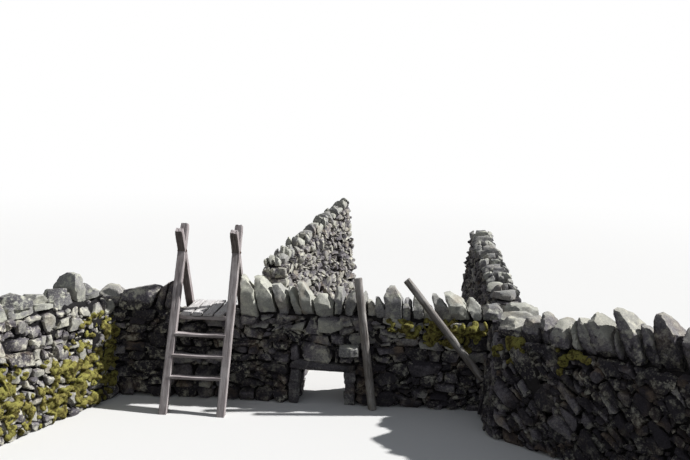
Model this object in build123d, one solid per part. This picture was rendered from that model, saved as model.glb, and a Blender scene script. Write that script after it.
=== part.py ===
# Timber ladder stile over a drystone wall, with a sheep hole and the walls that meet it.
# Millimetres. X runs along the crossed wall, +Y away from the ladder that is climbed first, Z up.
# The origin is on the lowest ground, under the middle of the stile. Walls and ladder feet run down to it.
from build123d import *
import math
import os

# The crossed wall
ground_fall = 400.0
wall_height = 1050.0
wall_foot_width = 700.0
wall_batter = 0.11
stile_bay_width = 840.0
left_corner = -1000.0
right_corner = 3280.0

# Sheep hole through the wall
hole_left = 1160.0
hole_width = 540.0
hole_height = 400.0
jamb_width = 130.0
lintel_thickness = 85.0
lintel_overhang = 22.0
arris = 6.0

# Stone that runs through the wall and sticks out as a step
step_left = 1630.0
step_width = 260.0
step_thickness = 85.0
step_top = 700.0
step_reach = 235.0
step_tail = 45.0

# Walls that meet the crossed wall: length clear of it, height, turn in degrees from square,
# and how much higher the top stands at the far end, where the ground climbs
left_return_length = 2250.0
left_return_height = 1200.0
left_return_rise = 80.0
left_return_turn = 22.0
right_return_height = 1120.0
right_return_turn = 0.0
wing_offset = 730.0
wing_length = 2450.0
wing_turn = 51.0
spur_left = 400.0
spur_foot_width = 665.0
spur_length = 4350.0
spur_height = 1530.0
spur_rise = 300.0
spur_turn = 7.0
rear_wall_length = 4200.0
rear_wall_height = 1200.0
rear_wall_rise = 160.0
rear_wall_turn = 0.0
corner_cope_clearance = 45.0
wing_cope_start = 12.0
right_return_cope_end = 225.0

# Coping stones: gap between two stones, setback from the wall face and shoulder of the rounded section
cope_gap = 9.0
cope_setback = 6.0
cope_shoulder = 0.58
cope_crown = 0.56

# Ladder: two pairs of stringers that lean over the wall and are halved together above it
ladder_width = 670.0
stringer_width = 96.0
stringer_depth = 84.0
stringer_lean = 26.4
crossing_height = 1350.0
front_top = 1664.0
rear_top = 1634.0
stringer_chamfer = 7.0

# Rungs and platform, measured up from the ground at the stile
rung_rise = 226.0
rung_thickness = 40.0
rung_depth = 92.0
rung_housing = 22.0
platform_top = 650.0
slat_count = 4
slat_width = 115.0
slat_gap = 21.0
slat_thickness = 29.0
slat_nose = 9.0
slat_front = -318.0
slat_back = 450.0
bearer_depth = 58.0
bearer_height = 50.0
bearer_setback = 8.0
rear_bearer_overhang = 95.0

# Loose timber that leans on the copes: height above the copes' seat where it rests, and depth of its worn flat
stake_diameter = 88.0
stake_foot_x = 2052.0
stake_top_x = 1835.0
stake_height = 1530.0
stake_foot_gap = 34.0
pole_diameter = 90.0
pole_top_x = 2405.0
pole_top_height = 1530.0
pole_foot_height = 400.0
pole_foot_gap = 4.0
rest_above_seat = 145.0
worn_flat = 2.0

# Each coping stone: width along the wall, height, lean of its far joint, place of its peak
left_copes = [
    (330, 205, 0.10, 0.30),
    (290, 235, 0.25, 0.50),
    (410, 260, 0.45, 0.80),
    (150, 330, 0.22, 0.60),
    (105, 400, 0.04, 0.50),
]
middle_copes = [
    (225, 420, -0.26, 0.25),
    (225, 395, -0.36, 0.20),
    (175, 335, -0.30, 0.25),
    (115, 300, -0.30, 0.35),
    (150, 365, -0.26, 0.30),
    (215, 235, -0.06, 0.45),
    (115, 310, 0.04, 0.50),
    (165, 290, 0.18, 0.70),
]
right_copes = [
    (115, 265, -0.05, 0.50),
    (130, 165, -0.30, 0.30),
    (110, 215, -0.20, 0.40),
    (215, 345, -0.05, 0.50),
    (120, 210, -0.10, 0.40),
    (130, 240, -0.05, 0.50),
    (165, 150, -0.35, 0.40),
    (190, 265, -0.45, 0.30),
    (240, 290, -0.40, 0.25),
    (150, 240, -0.15, 0.50),
    (260, 165, 0.00, 0.50),
    (420, 190, 0.00, 0.40),
]
left_return_copes = [
    (260, 190, 0.00, 0.50),
    (170, 345, 0.12, 0.35),
    (380, 190, 0.05, 0.30),
    (300, 170, -0.05, 0.50),
    (420, 215, 0.05, 0.60),
    (270, 190, -0.05, 0.45),
    (360, 225, 0.05, 0.60),
    (230, 195, 0.00, 0.50),
]
right_return_copes = [
    (380, 130, 0.00, 0.50),
]
wing_copes = [
    (310, 165, -0.15, 0.40),
    (270, 215, -0.30, 0.35),
    (170, 300, -0.42, 0.30),
    (240, 260, -0.38, 0.45),
    (120, 345, -0.48, 0.35),
    (190, 310, -0.50, 0.30),
    (230, 405, -0.55, 0.25),
    (110, 350, -0.52, 0.40),
    (260, 470, -0.60, 0.25),
    (150, 390, -0.55, 0.40),
    (270, 520, -0.50, 0.30),
    (140, 430, -0.30, 0.45),
    (210, 500, 0.00, 0.50),
]
spur_copes = 3 * [
    (150, 130, 0.10, 0.50),
    (210, 95, 0.12, 0.60),
    (120, 165, 0.20, 0.40),
    (180, 120, 0.05, 0.40),
    (230, 90, 0.10, 0.60),
    (110, 175, -0.05, 0.50),
    (190, 110, 0.15, 0.60),
    (140, 145, 0.00, 0.40),
]
rear_wall_copes = 3 * [
    (210, 110, 0.05, 0.50),
    (140, 155, 0.15, 0.40),
    (250, 95, 0.00, 0.60),
    (170, 140, -0.10, 0.50),
    (130, 185, 0.10, 0.40),
    (220, 105, 0.05, 0.60),
    (160, 130, -0.05, 0.50),
]

# Sizes worked out from the ones above
stile_left = -stile_bay_width / 2
stile_right = stile_bay_width / 2
lintel_left = hole_left - jamb_width
lintel_right = hole_left + hole_width + jamb_width
lintel_top = hole_height + lintel_thickness
wall_left_end = left_corner - wall_foot_width / math.cos(math.radians(left_return_turn))
wall_right_end = right_corner + wall_foot_width / math.cos(math.radians(right_return_turn))
stringer_inside = (ladder_width - stringer_width) / 2
platform_level = ground_fall + platform_top
slat_underside = platform_level - slat_thickness
lean = math.radians(stringer_lean)
tall = 4 * wall_height


def half_width(height, foot_width=wall_foot_width):
    # Half a wall's thickness at a height above the ground
    return foot_width / 2 - height * wall_batter


def walling(start, end, height, bottom=0.0, foot_width=wall_foot_width, rise=0.0):
    # Battered walling along X, between two heights. Its top may climb from x = 0 to its end
    low = half_width(bottom, foot_width)
    high = half_width(height + rise, foot_width)
    top = height + rise
    section = Plane.YZ * Polygon((-low, bottom), (low, bottom), (high, top), (-high, top), align=None)
    wall = Pos(X=start) * extrude(section, end - start)
    if rise:
        wall -= climbing(height, rise, end) * (Pos(Z=height + tall / 2) * Box(4 * tall, 2 * tall, tall))
    return wall


def climbing(height, rise, length):
    # Turns what lies level at a height so that it climbs by the rise over the length
    slope = math.degrees(math.atan2(rise, length))
    return Pos(Z=height) * Rot(Y=-slope) * Pos(Z=-height)


def cope_half_depth(height, foot_width=wall_foot_width):
    # Half the depth of the copes that stand on a wall of this height
    return half_width(height, foot_width) - cope_setback


def cope_solid(left, right, lean_left, lean_right, height, peak, half):
    # One coping stone on edge: a leaning outline, cut to a section that is rounded across the wall
    def x_left(z):
        return left + cope_gap / 2 + lean_left * z

    def x_right(z):
        return right - cope_gap / 2 + lean_right * z

    shoulder = height * cope_shoulder
    crest = x_left(height) + peak * (x_right(height) - x_left(height))
    crown = (x_right(height) - x_left(height)) / 5
    outline = Plane.XZ * Polygon(
        (x_left(0), 0),
        (x_right(0), 0),
        (x_right(shoulder), shoulder),
        (crest + crown, height),
        (crest - crown, height),
        (x_left(shoulder), shoulder),
        align=None,
    )
    stone = extrude(outline, half, both=True)
    section = Plane.YZ * Polygon(
        (-half, 0),
        (half, 0),
        (half, shoulder),
        (half * cope_crown, height),
        (-half * cope_crown, height),
        (-half, shoulder),
        align=None,
    )
    reach = abs(right - left) + 2 * height
    return stone & (Pos(X=left - reach) * extrude(section, right - left + 2 * reach))


def coping(stones, start, end, seat, first_lean=0.0, foot_width=wall_foot_width):
    # A row of coping stones that fills the run from start to end on a wall top
    half = cope_half_depth(seat, foot_width)
    share = (end - start) / sum(stone[0] for stone in stones)
    solids = []
    left = start
    lean_left = first_lean
    for width, height, lean_right, peak in stones:
        right = left + width * share
        solid = cope_solid(left, right, lean_left, lean_right, height, peak, half)
        solids.append(Pos(Z=seat) * solid)
        left = right
        lean_left = lean_right
    return solids


def bar(length_x, length_y, length_z, chamfer_size):
    # Squared timber or stone about its own middle, with its arrises taken off
    block = Box(length_x, length_y, length_z)
    return chamfer(block.edges(), chamfer_size)


def save(name, shape):
    # A node is one solid, or a list of solids that don't touch
    if isinstance(shape, list):
        shape = Compound([solid for piece in shape for solid in piece.solids()])
    export_step(shape, f"parts/{name}.step")


# Bays of the crossed wall
def crossed_wall(step):
    bays = {
        "left_wall_bay": walling(wall_left_end, stile_left, wall_height),
        "stile_wall_bay": walling(stile_left, stile_right, slat_underside),
        "middle_wall_bay": walling(stile_right, lintel_left, wall_height),
        "wall_over_sheep_hole": walling(lintel_left, lintel_right, wall_height, lintel_top) - step,
        "right_wall_bay": walling(lintel_right, wall_right_end, wall_height) - step,
    }
    return bays


# Sheep hole: two jamb stones and a lintel that bears on both
def sheep_hole():
    left_jamb = walling(lintel_left, hole_left, hole_height)
    right_jamb = walling(hole_left + hole_width, lintel_right, hole_height)
    lintel_depth = 2 * (half_width(hole_height) + lintel_overhang)
    lintel = bar(lintel_right - lintel_left, lintel_depth, lintel_thickness, arris)
    lintel = Pos((lintel_left + lintel_right) / 2, 0, hole_height + lintel_thickness / 2) * lintel
    return {"sheep_hole_left_jamb": left_jamb, "sheep_hole_right_jamb": right_jamb, "sheep_hole_lintel": lintel}


# Step stone, right through the wall
def step_stone():
    face = half_width(step_top - step_thickness / 2)
    front = -face - step_reach
    back = face + step_tail
    stone = bar(step_width, back - front, step_thickness, arris)
    return Pos(step_left + step_width / 2, (front + back) / 2, step_top - step_thickness / 2) * stone


def run_place(x, y, heading, side, foot_width=wall_foot_width):
    # Place of a run of walling that heads out from a foot corner, on its left hand (1) or its right (-1)
    out = math.radians(heading)
    across = side * foot_width / 2
    return Location((x + across * math.sin(out), y - across * math.cos(out), 0), (0, 0, heading))


def behind_face(place):
    # All that lies behind the right-hand face of a run
    low = half_width(0)
    high = half_width(tall)
    section = Plane.YZ * Polygon((-low, 0), (tall, 0), (tall, tall), (-high, tall), align=None)
    return place * (Pos(X=-tall) * extrude(section, 2 * tall))


def joining_run(place, length, height, foot_width=wall_foot_width, rise=0.0):
    # A run of walling, less what the crossed wall and the air over it take up
    run = place * walling(-wall_foot_width, length, height, foot_width=foot_width, rise=rise)
    crossed = walling(wall_left_end - tall, wall_right_end + tall, wall_height)
    coped = Pos(Z=wall_height + tall / 2) * Box(4 * tall, 2 * half_width(wall_height), tall)
    far_side = 1 if place.position.Y < 0 else -1
    beyond = Pos(Y=far_side * tall / 2) * Box(4 * tall, tall, 2 * tall)
    return run - crossed - coped - beyond


def joining_copes(place, stones, length, height, foot_width=wall_foot_width, rise=0.0):
    # Copes of a run of walling, from just clear of the crossed wall's copes to the run's end
    out = math.radians(place.orientation.Z)
    half = cope_half_depth(height, foot_width)
    clear = cope_half_depth(wall_height) + corner_cope_clearance
    start = (clear - abs(place.position.Y) + half * abs(math.cos(out))) / abs(math.sin(out))
    row = coping(stones, start, length, height, foot_width=foot_width - 2 * rise * wall_batter)
    return [place * (climbing(height, rise, length) * stone) for stone in row]


# Walls on the ladder's side: a return at each end, and a wing that turns away from the right one
def front_walls():
    foot = wall_foot_width / 2
    left = run_place(left_corner, -foot, -90 - left_return_turn, 1)
    right_heading = -90 - right_return_turn
    right = run_place(right_corner, -foot, right_heading, -1)
    wing_x = right_corner + wing_offset * math.cos(math.radians(right_heading))
    wing_y = -foot + wing_offset * math.sin(math.radians(right_heading))
    wing = run_place(wing_x, wing_y, -90 + wing_turn, -1)
    right_run = joining_run(right, wing_offset + wall_foot_width, right_return_height)
    wing_run = joining_run(wing, wing_length, right_return_height)
    on_wing = coping(wing_copes, wing_cope_start, wing_length, right_return_height, wing_copes[0][2])
    return {
        "left_return_wall": joining_run(
            left, left_return_length, left_return_height, rise=left_return_rise
        ),
        "left_return_coping": joining_copes(
            left, left_return_copes, left_return_length, left_return_height, rise=left_return_rise
        ),
        "right_return_wall": right_run & behind_face(wing),
        "right_return_coping": joining_copes(
            right, right_return_copes, right_return_cope_end, right_return_height
        ),
        "right_wing_wall": (wing_run & behind_face(right)) - right_run,
        "right_wing_coping": [wing * stone for stone in on_wing],
    }


# Walls on the far side: a spur beside the rear ladder, and one that goes on from the right-hand corner
def rear_walls():
    foot = wall_foot_width / 2
    spur = run_place(spur_left, foot, 90 - spur_turn, 1, spur_foot_width)
    rear = run_place(right_corner, foot, 90 - rear_wall_turn, 1)
    return {
        "spur_wall": joining_run(spur, spur_length, spur_height, spur_foot_width, spur_rise),
        "spur_coping": joining_copes(spur, spur_copes, spur_length, spur_height, spur_foot_width, spur_rise),
        "rear_wall": joining_run(rear, rear_wall_length, rear_wall_height, rise=rear_wall_rise),
        "rear_wall_coping": joining_copes(
            rear, rear_wall_copes, rear_wall_length, rear_wall_height, rise=rear_wall_rise
        ),
    }


def stringer(side, top, front):
    # Leans over the wall, square at its top, cut level at its foot
    foot_length = (crossing_height + ground_fall) / math.cos(lean) + stringer_depth
    head_length = (top - crossing_height) / math.cos(lean)
    post = bar(stringer_width, stringer_depth, foot_length + head_length, stringer_chamfer)
    post = Pos(Z=(head_length - foot_length) / 2) * post
    tilt = -stringer_lean if front else stringer_lean
    post = Pos(side * ladder_width / 2, 0, ground_fall + crossing_height) * (Rot(X=tilt) * post)
    return post - Pos(Z=-tall / 2) * Box(2 * tall, 2 * tall, tall)


def ladder_y(height, front):
    # Middle line of a ladder at a height above the ground at the stile
    run = (crossing_height - height) * math.tan(lean)
    return -run if front else run


# Ladder: stringers halved into each other, rungs housed in the stringers
def ladder():
    pieces = {}
    rungs = {}
    for front, face in ((True, "front"), (False, "rear")):
        for step, name in enumerate(("bottom", "middle", "top")):
            height = step * rung_rise - rung_thickness / 2
            rung = bar(2 * (stringer_inside + rung_housing), rung_depth, rung_thickness, arris)
            rungs[f"{face}_rung_{name}"] = Pos(0, ladder_y(height, front), ground_fall + height) * rung
    for side, hand in ((-1, "left"), (1, "right")):
        front_post = stringer(side, front_top, True)
        rear_post = stringer(side, rear_top, False)
        outer_half = Pos(side * (ladder_width / 2 + tall / 2)) * Box(tall, 2 * tall, 4 * tall)
        inner_half = Pos(side * (ladder_width / 2 - tall / 2)) * Box(tall, 2 * tall, 4 * tall)
        front_halved = front_post - (rear_post & inner_half)
        rear_halved = rear_post - (front_post & outer_half)
        for rung in rungs.values():
            front_halved = front_halved - rung
            rear_halved = rear_halved - rung
        pieces[f"front_stringer_{hand}"] = front_halved
        pieces[f"rear_stringer_{hand}"] = rear_halved
    pieces.update(rungs)
    return pieces


# Platform: slats from front to back on two bearers between the stringers
def platform():
    pieces = {}
    bearer_z = slat_underside - bearer_height / 2
    bearer = bar(2 * stringer_inside, bearer_depth, bearer_height, arris)
    front_y = slat_front + bearer_setback + bearer_depth / 2
    rear_y = slat_back - rear_bearer_overhang - bearer_depth / 2
    pieces["front_platform_bearer"] = Pos(0, front_y, bearer_z) * bearer
    pieces["rear_platform_bearer"] = Pos(0, rear_y, bearer_z) * bearer
    slat_length = slat_back - slat_front
    pitch = slat_width + slat_gap
    first = -stringer_inside + slat_gap / 2 + slat_width / 2
    for index in range(slat_count):
        slat = Box(slat_width, slat_length, slat_thickness)
        slat = fillet(slat.edges().filter_by(Axis.X).group_by(Axis.Z)[-1], slat_nose)
        place = Pos(first + index * pitch, (slat_front + slat_back) / 2, platform_level - slat_thickness / 2)
        pieces[f"platform_slat_{index + 1}"] = place * slat
    return pieces


def leaning_pole(foot_x, foot_y, foot_z, top_x, top_z, diameter):
    # A straight pole that rests on the copes' front face part way up, its ends cut square
    rest_z = wall_height + rest_above_seat
    rest_y = -(cope_half_depth(wall_height) + diameter / 2 - worn_flat)
    top_y = foot_y + (rest_y - foot_y) * (top_z - foot_z) / (rest_z - foot_z)
    foot = Vector(foot_x, foot_y, foot_z)
    path = Vector(top_x, top_y, top_z) - foot
    return extrude(Plane(origin=foot, z_dir=path) * Circle(diameter / 2), path.length)


# Upright stake and leaning pole, each with a worn flat where it rests
def leaning_timber(copes, right_return):
    stake_y = -(half_width(0) + stake_diameter / 2 + stake_foot_gap)
    stake = leaning_pole(stake_foot_x, stake_y, 0, stake_top_x, stake_height, stake_diameter)
    stake = stake - Pos(Z=-tall / 2) * Box(2 * tall, 2 * tall, tall)
    pole_x = right_corner + pole_foot_height * wall_batter
    pole_y = -(half_width(pole_foot_height) + pole_diameter / 2 + pole_foot_gap)
    pole = leaning_pole(pole_x, pole_y, pole_foot_height, pole_top_x, pole_top_height, pole_diameter)
    pole = pole - right_return
    for cope in copes:
        stake = stake - cope
        pole = pole - cope
    return {"upright_stake": stake, "leaning_pole": pole}


def main():
    os.makedirs("parts", exist_ok=True)
    step = step_stone()
    nodes = crossed_wall(step)
    nodes.update(sheep_hole())
    nodes["step_stone"] = step

    nodes.update(front_walls())
    nodes.update(rear_walls())

    middle_end = stake_top_x
    nodes["left_coping"] = coping(left_copes, wall_left_end, stile_left, wall_height)
    nodes["middle_coping"] = coping(middle_copes, stile_right, middle_end, wall_height, -0.1)
    nodes["right_coping"] = coping(right_copes, middle_end, wall_right_end, wall_height, middle_copes[-1][2])

    nodes.update(ladder())
    nodes.update(platform())
    copes = nodes["middle_coping"] + nodes["right_coping"]
    nodes.update(leaning_timber(copes, nodes["right_return_wall"]))
    for name, shape in nodes.items():
        save(name, shape)


main()
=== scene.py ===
import math
import random

import bmesh
import bpy
import numpy as np
from mathutils import Matrix, Vector, noise
from mathutils.bvhtree import BVHTree


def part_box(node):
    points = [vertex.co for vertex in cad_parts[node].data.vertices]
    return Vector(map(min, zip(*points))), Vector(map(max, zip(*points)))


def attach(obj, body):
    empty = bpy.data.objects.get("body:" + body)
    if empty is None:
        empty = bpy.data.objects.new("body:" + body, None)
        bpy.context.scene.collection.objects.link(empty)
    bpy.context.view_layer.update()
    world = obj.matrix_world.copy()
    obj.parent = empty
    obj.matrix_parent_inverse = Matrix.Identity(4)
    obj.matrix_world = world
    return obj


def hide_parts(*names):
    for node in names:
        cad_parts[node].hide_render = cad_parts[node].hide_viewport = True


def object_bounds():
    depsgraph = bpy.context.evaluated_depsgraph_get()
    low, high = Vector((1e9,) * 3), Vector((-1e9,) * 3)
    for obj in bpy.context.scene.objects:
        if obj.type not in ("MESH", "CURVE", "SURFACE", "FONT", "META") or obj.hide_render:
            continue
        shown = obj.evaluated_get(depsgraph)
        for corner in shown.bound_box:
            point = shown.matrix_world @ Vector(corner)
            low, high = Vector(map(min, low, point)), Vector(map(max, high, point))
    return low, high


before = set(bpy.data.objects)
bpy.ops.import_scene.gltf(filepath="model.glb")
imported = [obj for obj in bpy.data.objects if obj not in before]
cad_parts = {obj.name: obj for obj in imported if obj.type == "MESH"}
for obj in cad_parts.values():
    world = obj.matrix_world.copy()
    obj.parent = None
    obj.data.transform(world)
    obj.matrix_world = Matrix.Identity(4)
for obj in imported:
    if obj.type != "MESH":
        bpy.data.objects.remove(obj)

lumpSeed = 5  # mathutils draws a new one for its noise vectors in each run unless it is set
noise.seed_set(lumpSeed)
cadLow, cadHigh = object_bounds()
print("frame loaded")


# Small helpers that every piece uses

def linkObject(name, data):
    made = bpy.data.objects.new(name, data)
    bpy.context.scene.collection.objects.link(made)
    return made


def newMesh(name, bm):
    mesh = bpy.data.meshes.new(name)
    bm.to_mesh(mesh)
    bm.free()
    return mesh


def edgesAlong(bm, axis, least):
    # The edges that span more than this length on an axis
    return [edge for edge in bm.edges if abs(edge.verts[0].co[axis] - edge.verts[1].co[axis]) > least]


def camelName(node):
    first, *others = node.split("_")
    return first + "".join(word.capitalize() for word in others)


# Camera at the photo's angle

cameraPlan = {
    "place": (2.4326, -10.0353, 3.5285),
    "heading": 4.456,  # degrees to the left of straight across the wall
    "dip": 8.263,
    "roll": 1.13,
    "lens": 44.35,
}


def placeCamera(plan):
    data = bpy.data.cameras.new("camera")
    data.lens = plan["lens"]
    data.sensor_width = 36
    camera = linkObject("camera", data)
    turn = Matrix.Rotation(math.radians(plan["heading"]), 4, "Z")
    tilt = Matrix.Rotation(math.radians(90 - plan["dip"]), 4, "X")
    roll = Matrix.Rotation(math.radians(plan["roll"]), 4, "Z")
    camera.matrix_world = Matrix.Translation(plan["place"]) @ turn @ tilt @ roll
    bpy.context.scene.camera = camera


placeCamera(cameraPlan)


# Small node helpers

def addNode(tree, kind, **settings):
    node = tree.nodes.new(kind)
    for name, value in settings.items():
        setattr(node, name, value)
    return node


def feed(tree, value, socket):
    # Links an output to a socket, or sets the socket to a number or a colour
    if isinstance(value, bpy.types.NodeSocket):
        tree.links.new(value, socket)
    elif isinstance(value, tuple) and len(value) == 3 and socket.type == "RGBA":
        socket.default_value = (*value, 1.0)
    else:
        socket.default_value = value


def mixColours(tree, amount, first, second, blend="MIX"):
    mix = addNode(tree, "ShaderNodeMix", data_type="RGBA", blend_type=blend)
    feed(tree, amount, mix.inputs["Factor"])
    feed(tree, first, mix.inputs["A"])
    feed(tree, second, mix.inputs["B"])
    return mix.outputs["Result"]


def doMaths(tree, operation, first, second=0.0, third=0.0, clamp=False):
    node = addNode(tree, "ShaderNodeMath", operation=operation, use_clamp=clamp)
    for value, socket in zip((first, second, third), node.inputs):
        feed(tree, value, socket)
    return node.outputs[0]


def times(tree, first, second, clamp=False):
    return doMaths(tree, "MULTIPLY", first, second, clamp=clamp)


def plus(tree, first, second):
    return doMaths(tree, "ADD", first, second)


def stepBetween(tree, value, low, high):
    node = addNode(tree, "ShaderNodeMapRange", interpolation_type="SMOOTHSTEP")
    feed(tree, value, node.inputs["Value"])
    node.inputs["From Min"].default_value = low
    node.inputs["From Max"].default_value = high
    return node.outputs["Result"]


def addNoise(tree, vector, scale, detail=4.0, roughness=0.55, distortion=0.0):
    node = addNode(tree, "ShaderNodeTexNoise")
    labels = ("Vector", "Scale", "Detail", "Roughness", "Distortion")
    for label, value in zip(labels, (vector, scale, detail, roughness, distortion)):
        feed(tree, value, node.inputs[label])
    return node.outputs["Fac"]


def stretched(tree, vector, scale):
    node = addNode(tree, "ShaderNodeMapping")
    node.inputs["Scale"].default_value = scale
    tree.links.new(vector, node.inputs["Vector"])
    return node.outputs["Vector"]


def objectPlace(tree):
    return addNode(tree, "ShaderNodeTexCoord").outputs["Object"]


def newGroup(name, values, colours):
    # A group that reads a place, values and colours, and puts out a colour, a roughness and a height
    group = bpy.data.node_groups.new(name, "ShaderNodeTree")
    given = [("Vector", "Vector")]
    given += [(label, "Float") for label in values] + [(label, "Color") for label in colours]
    made = [("Colour", "Color"), ("Roughness", "Float"), ("Height", "Float")]
    for side, sockets in (("INPUT", given), ("OUTPUT", made)):
        for label, kind in sockets:
            group.interface.new_socket(label, in_out=side, socket_type="NodeSocket" + kind)
    return group, group.nodes.new("NodeGroupInput").outputs, group.nodes.new("NodeGroupOutput").inputs


def newMaterial(name, settings):
    # A material, its nodes and its shader, with the settings on the shader's own sockets
    material = bpy.data.materials.new(name)
    material.use_nodes = True
    shader = material.node_tree.nodes["Principled BSDF"]
    for label, value in settings.items():
        shader.inputs[label].default_value = value
    return material, material.node_tree, shader


def addBump(tree, height, depth, shader):
    bump = addNode(tree, "ShaderNodeBump")
    feed(tree, depth, bump.inputs["Distance"])
    feed(tree, height, bump.inputs["Height"])
    feed(tree, bump.outputs["Normal"], shader.inputs["Normal"])


# Stone: mottled grain, pale lichen in patches, moss where a stone is marked for it

def makeStoneGroup():
    colours = ("Dark", "Middle", "Pale", "Rusty", "Lichen Colour", "Moss Colour")
    group, given, made = newGroup("fieldStone", ("Tint", "Warmth", "Moss", "Lichen"), colours)
    spot = given["Vector"]
    broad = addNoise(group, spot, 5.0, 5.0, 0.6)
    mottle = addNoise(group, spot, 26.0, 6.0, 0.7, 0.4)
    grit = addNoise(group, spot, 120.0, 4.0, 0.75)
    bedding = addNoise(group, stretched(group, spot, (7.0, 7.0, 42.0)), 1.0, 4.0, 0.6, 0.6)

    tone = plus(group, given["Tint"], doMaths(group, "MULTIPLY_ADD", mottle, 0.9, -0.45))
    darkSide = mixColours(group, stepBetween(group, tone, -0.05, 0.5), given["Dark"], given["Middle"])
    base = mixColours(group, stepBetween(group, tone, 0.45, 1.15), darkSide, given["Pale"])
    rust = times(group, stepBetween(group, broad, 0.46, 0.68), given["Warmth"])
    base = mixColours(group, rust, base, given["Rusty"])
    speckle = stepBetween(group, grit, 0.35, 0.7)
    base = mixColours(group, 0.55, base, speckle, "SOFT_LIGHT")

    patches = addNoise(group, spot, 10.0, 9.0, 0.68)
    spots = addNode(group, "ShaderNodeTexVoronoi", feature="F1")
    feed(group, spot, spots.inputs["Vector"])
    feed(group, 34.0, spots.inputs["Scale"])
    rosette = stepBetween(group, spots.outputs["Distance"], 0.4, 0.22)
    patch = plus(group, stepBetween(group, patches, 0.49, 0.64), times(group, rosette, 0.3))
    crust = times(group, patch, given["Lichen"], clamp=True)
    crust = times(group, crust, stepBetween(group, grit, 0.25, 0.52))
    base = mixColours(group, crust, base, given["Lichen Colour"])

    mossNoise = plus(group, addNoise(group, spot, 11.0, 7.0, 0.75), given["Moss"])
    cushion = stepBetween(group, mossNoise, 1.02, 1.2)
    shade = mixColours(group, stepBetween(group, mottle, 0.3, 0.7), (0.32, 0.3, 0.3), (1.0, 1.0, 1.0))
    moss = mixColours(group, 1.0, given["Moss Colour"], shade, "MULTIPLY")
    feed(group, mixColours(group, cushion, base, moss), made["Colour"])

    feed(group, doMaths(group, "MULTIPLY_ADD", mottle, 0.16, 0.78), made["Roughness"])
    height = plus(group, times(group, mottle, 0.55), times(group, grit, 0.3))
    height = plus(group, height, times(group, bedding, 0.5))
    height = plus(group, height, times(group, cushion, 0.5))
    feed(group, height, made["Height"])
    return group


# Timber: streaks along the grain, bleached and stained areas, dark checks, and undersides darker for damp and
# as painted shade

def makeTimberGroup():
    group, given, made = newGroup("agedTimber", (), ("Streak", "Body", "Bleached", "Stain", "Damp"))
    spot = given["Vector"]
    fibre = addNoise(group, stretched(group, spot, (210.0, 210.0, 5.0)), 1.0, 5.0, 0.65, 0.3)
    rings = addNoise(group, stretched(group, spot, (38.0, 38.0, 1.6)), 1.0, 4.0, 0.6, 1.2)
    weather = addNoise(group, stretched(group, spot, (9.0, 9.0, 3.5)), 1.0, 5.0, 0.6)
    checks = addNoise(group, stretched(group, spot, (95.0, 95.0, 2.2)), 1.0, 2.0, 0.5, 0.5)
    base = mixColours(group, stepBetween(group, rings, 0.36, 0.64), given["Streak"], given["Body"])
    base = mixColours(group, stepBetween(group, weather, 0.42, 0.7), base, given["Bleached"])
    stain = addNoise(group, spot, 4.5, 4.0, 0.6)
    base = mixColours(group, times(group, stepBetween(group, stain, 0.52, 0.74), 0.5), base, given["Stain"])
    facing = addNode(group, "ShaderNodeSeparateXYZ")
    feed(group, addNode(group, "ShaderNodeNewGeometry").outputs["Normal"], facing.inputs[0])
    # faces turned down are darker: damp, and painted shade under the timber
    dampAndShade = stepBetween(group, facing.outputs["Z"], 0.15, -0.45)
    base = mixColours(group, times(group, dampAndShade, 0.7), base, given["Damp"])
    crack = stepBetween(group, checks, 0.36, 0.30)
    base = mixColours(group, times(group, crack, 0.75), base, (0.035, 0.028, 0.024))
    base = mixColours(group, 0.6, base, stepBetween(group, fibre, 0.3, 0.7), "SOFT_LIGHT")
    feed(group, base, made["Colour"])
    feed(group, doMaths(group, "MULTIPLY_ADD", fibre, 0.2, 0.68), made["Roughness"])
    height = doMaths(group, "MULTIPLY_ADD", fibre, 0.5, times(group, rings, 0.6))
    height = doMaths(group, "SUBTRACT", height, times(group, crack, 0.9))
    feed(group, height, made["Height"])
    return group


stoneGroup = makeStoneGroup()
timberGroup = makeTimberGroup()


def makeMaterial(name, group, bumpDepth, values, reads):
    # values are the group's fixed colours, and reads names the attributes that feed its other inputs
    material, tree, shader = newMaterial(name, {"Specular IOR Level": 0.25})
    effect = addNode(tree, "ShaderNodeGroup", node_tree=group)
    for label, value in values.items():
        feed(tree, value, effect.inputs[label])
    for attribute, channels in reads.items():
        reader = addNode(tree, "ShaderNodeAttribute", attribute_name=attribute)
        if channels == "Vector":
            tree.links.new(reader.outputs["Vector"], effect.inputs["Vector"])
            continue
        split = addNode(tree, "ShaderNodeSeparateColor")
        tree.links.new(reader.outputs["Color"], split.inputs["Color"])
        for channel, label in channels.items():
            source = reader.outputs["Alpha"] if channel == "Alpha" else split.outputs[channel]
            tree.links.new(source, effect.inputs[label])
    if not effect.inputs["Vector"].is_linked:
        tree.links.new(objectPlace(tree), effect.inputs["Vector"])
    tree.links.new(effect.outputs["Colour"], shader.inputs["Base Color"])
    tree.links.new(effect.outputs["Roughness"], shader.inputs["Roughness"])
    addBump(tree, effect.outputs["Height"], bumpDepth, shader)
    return material


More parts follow.
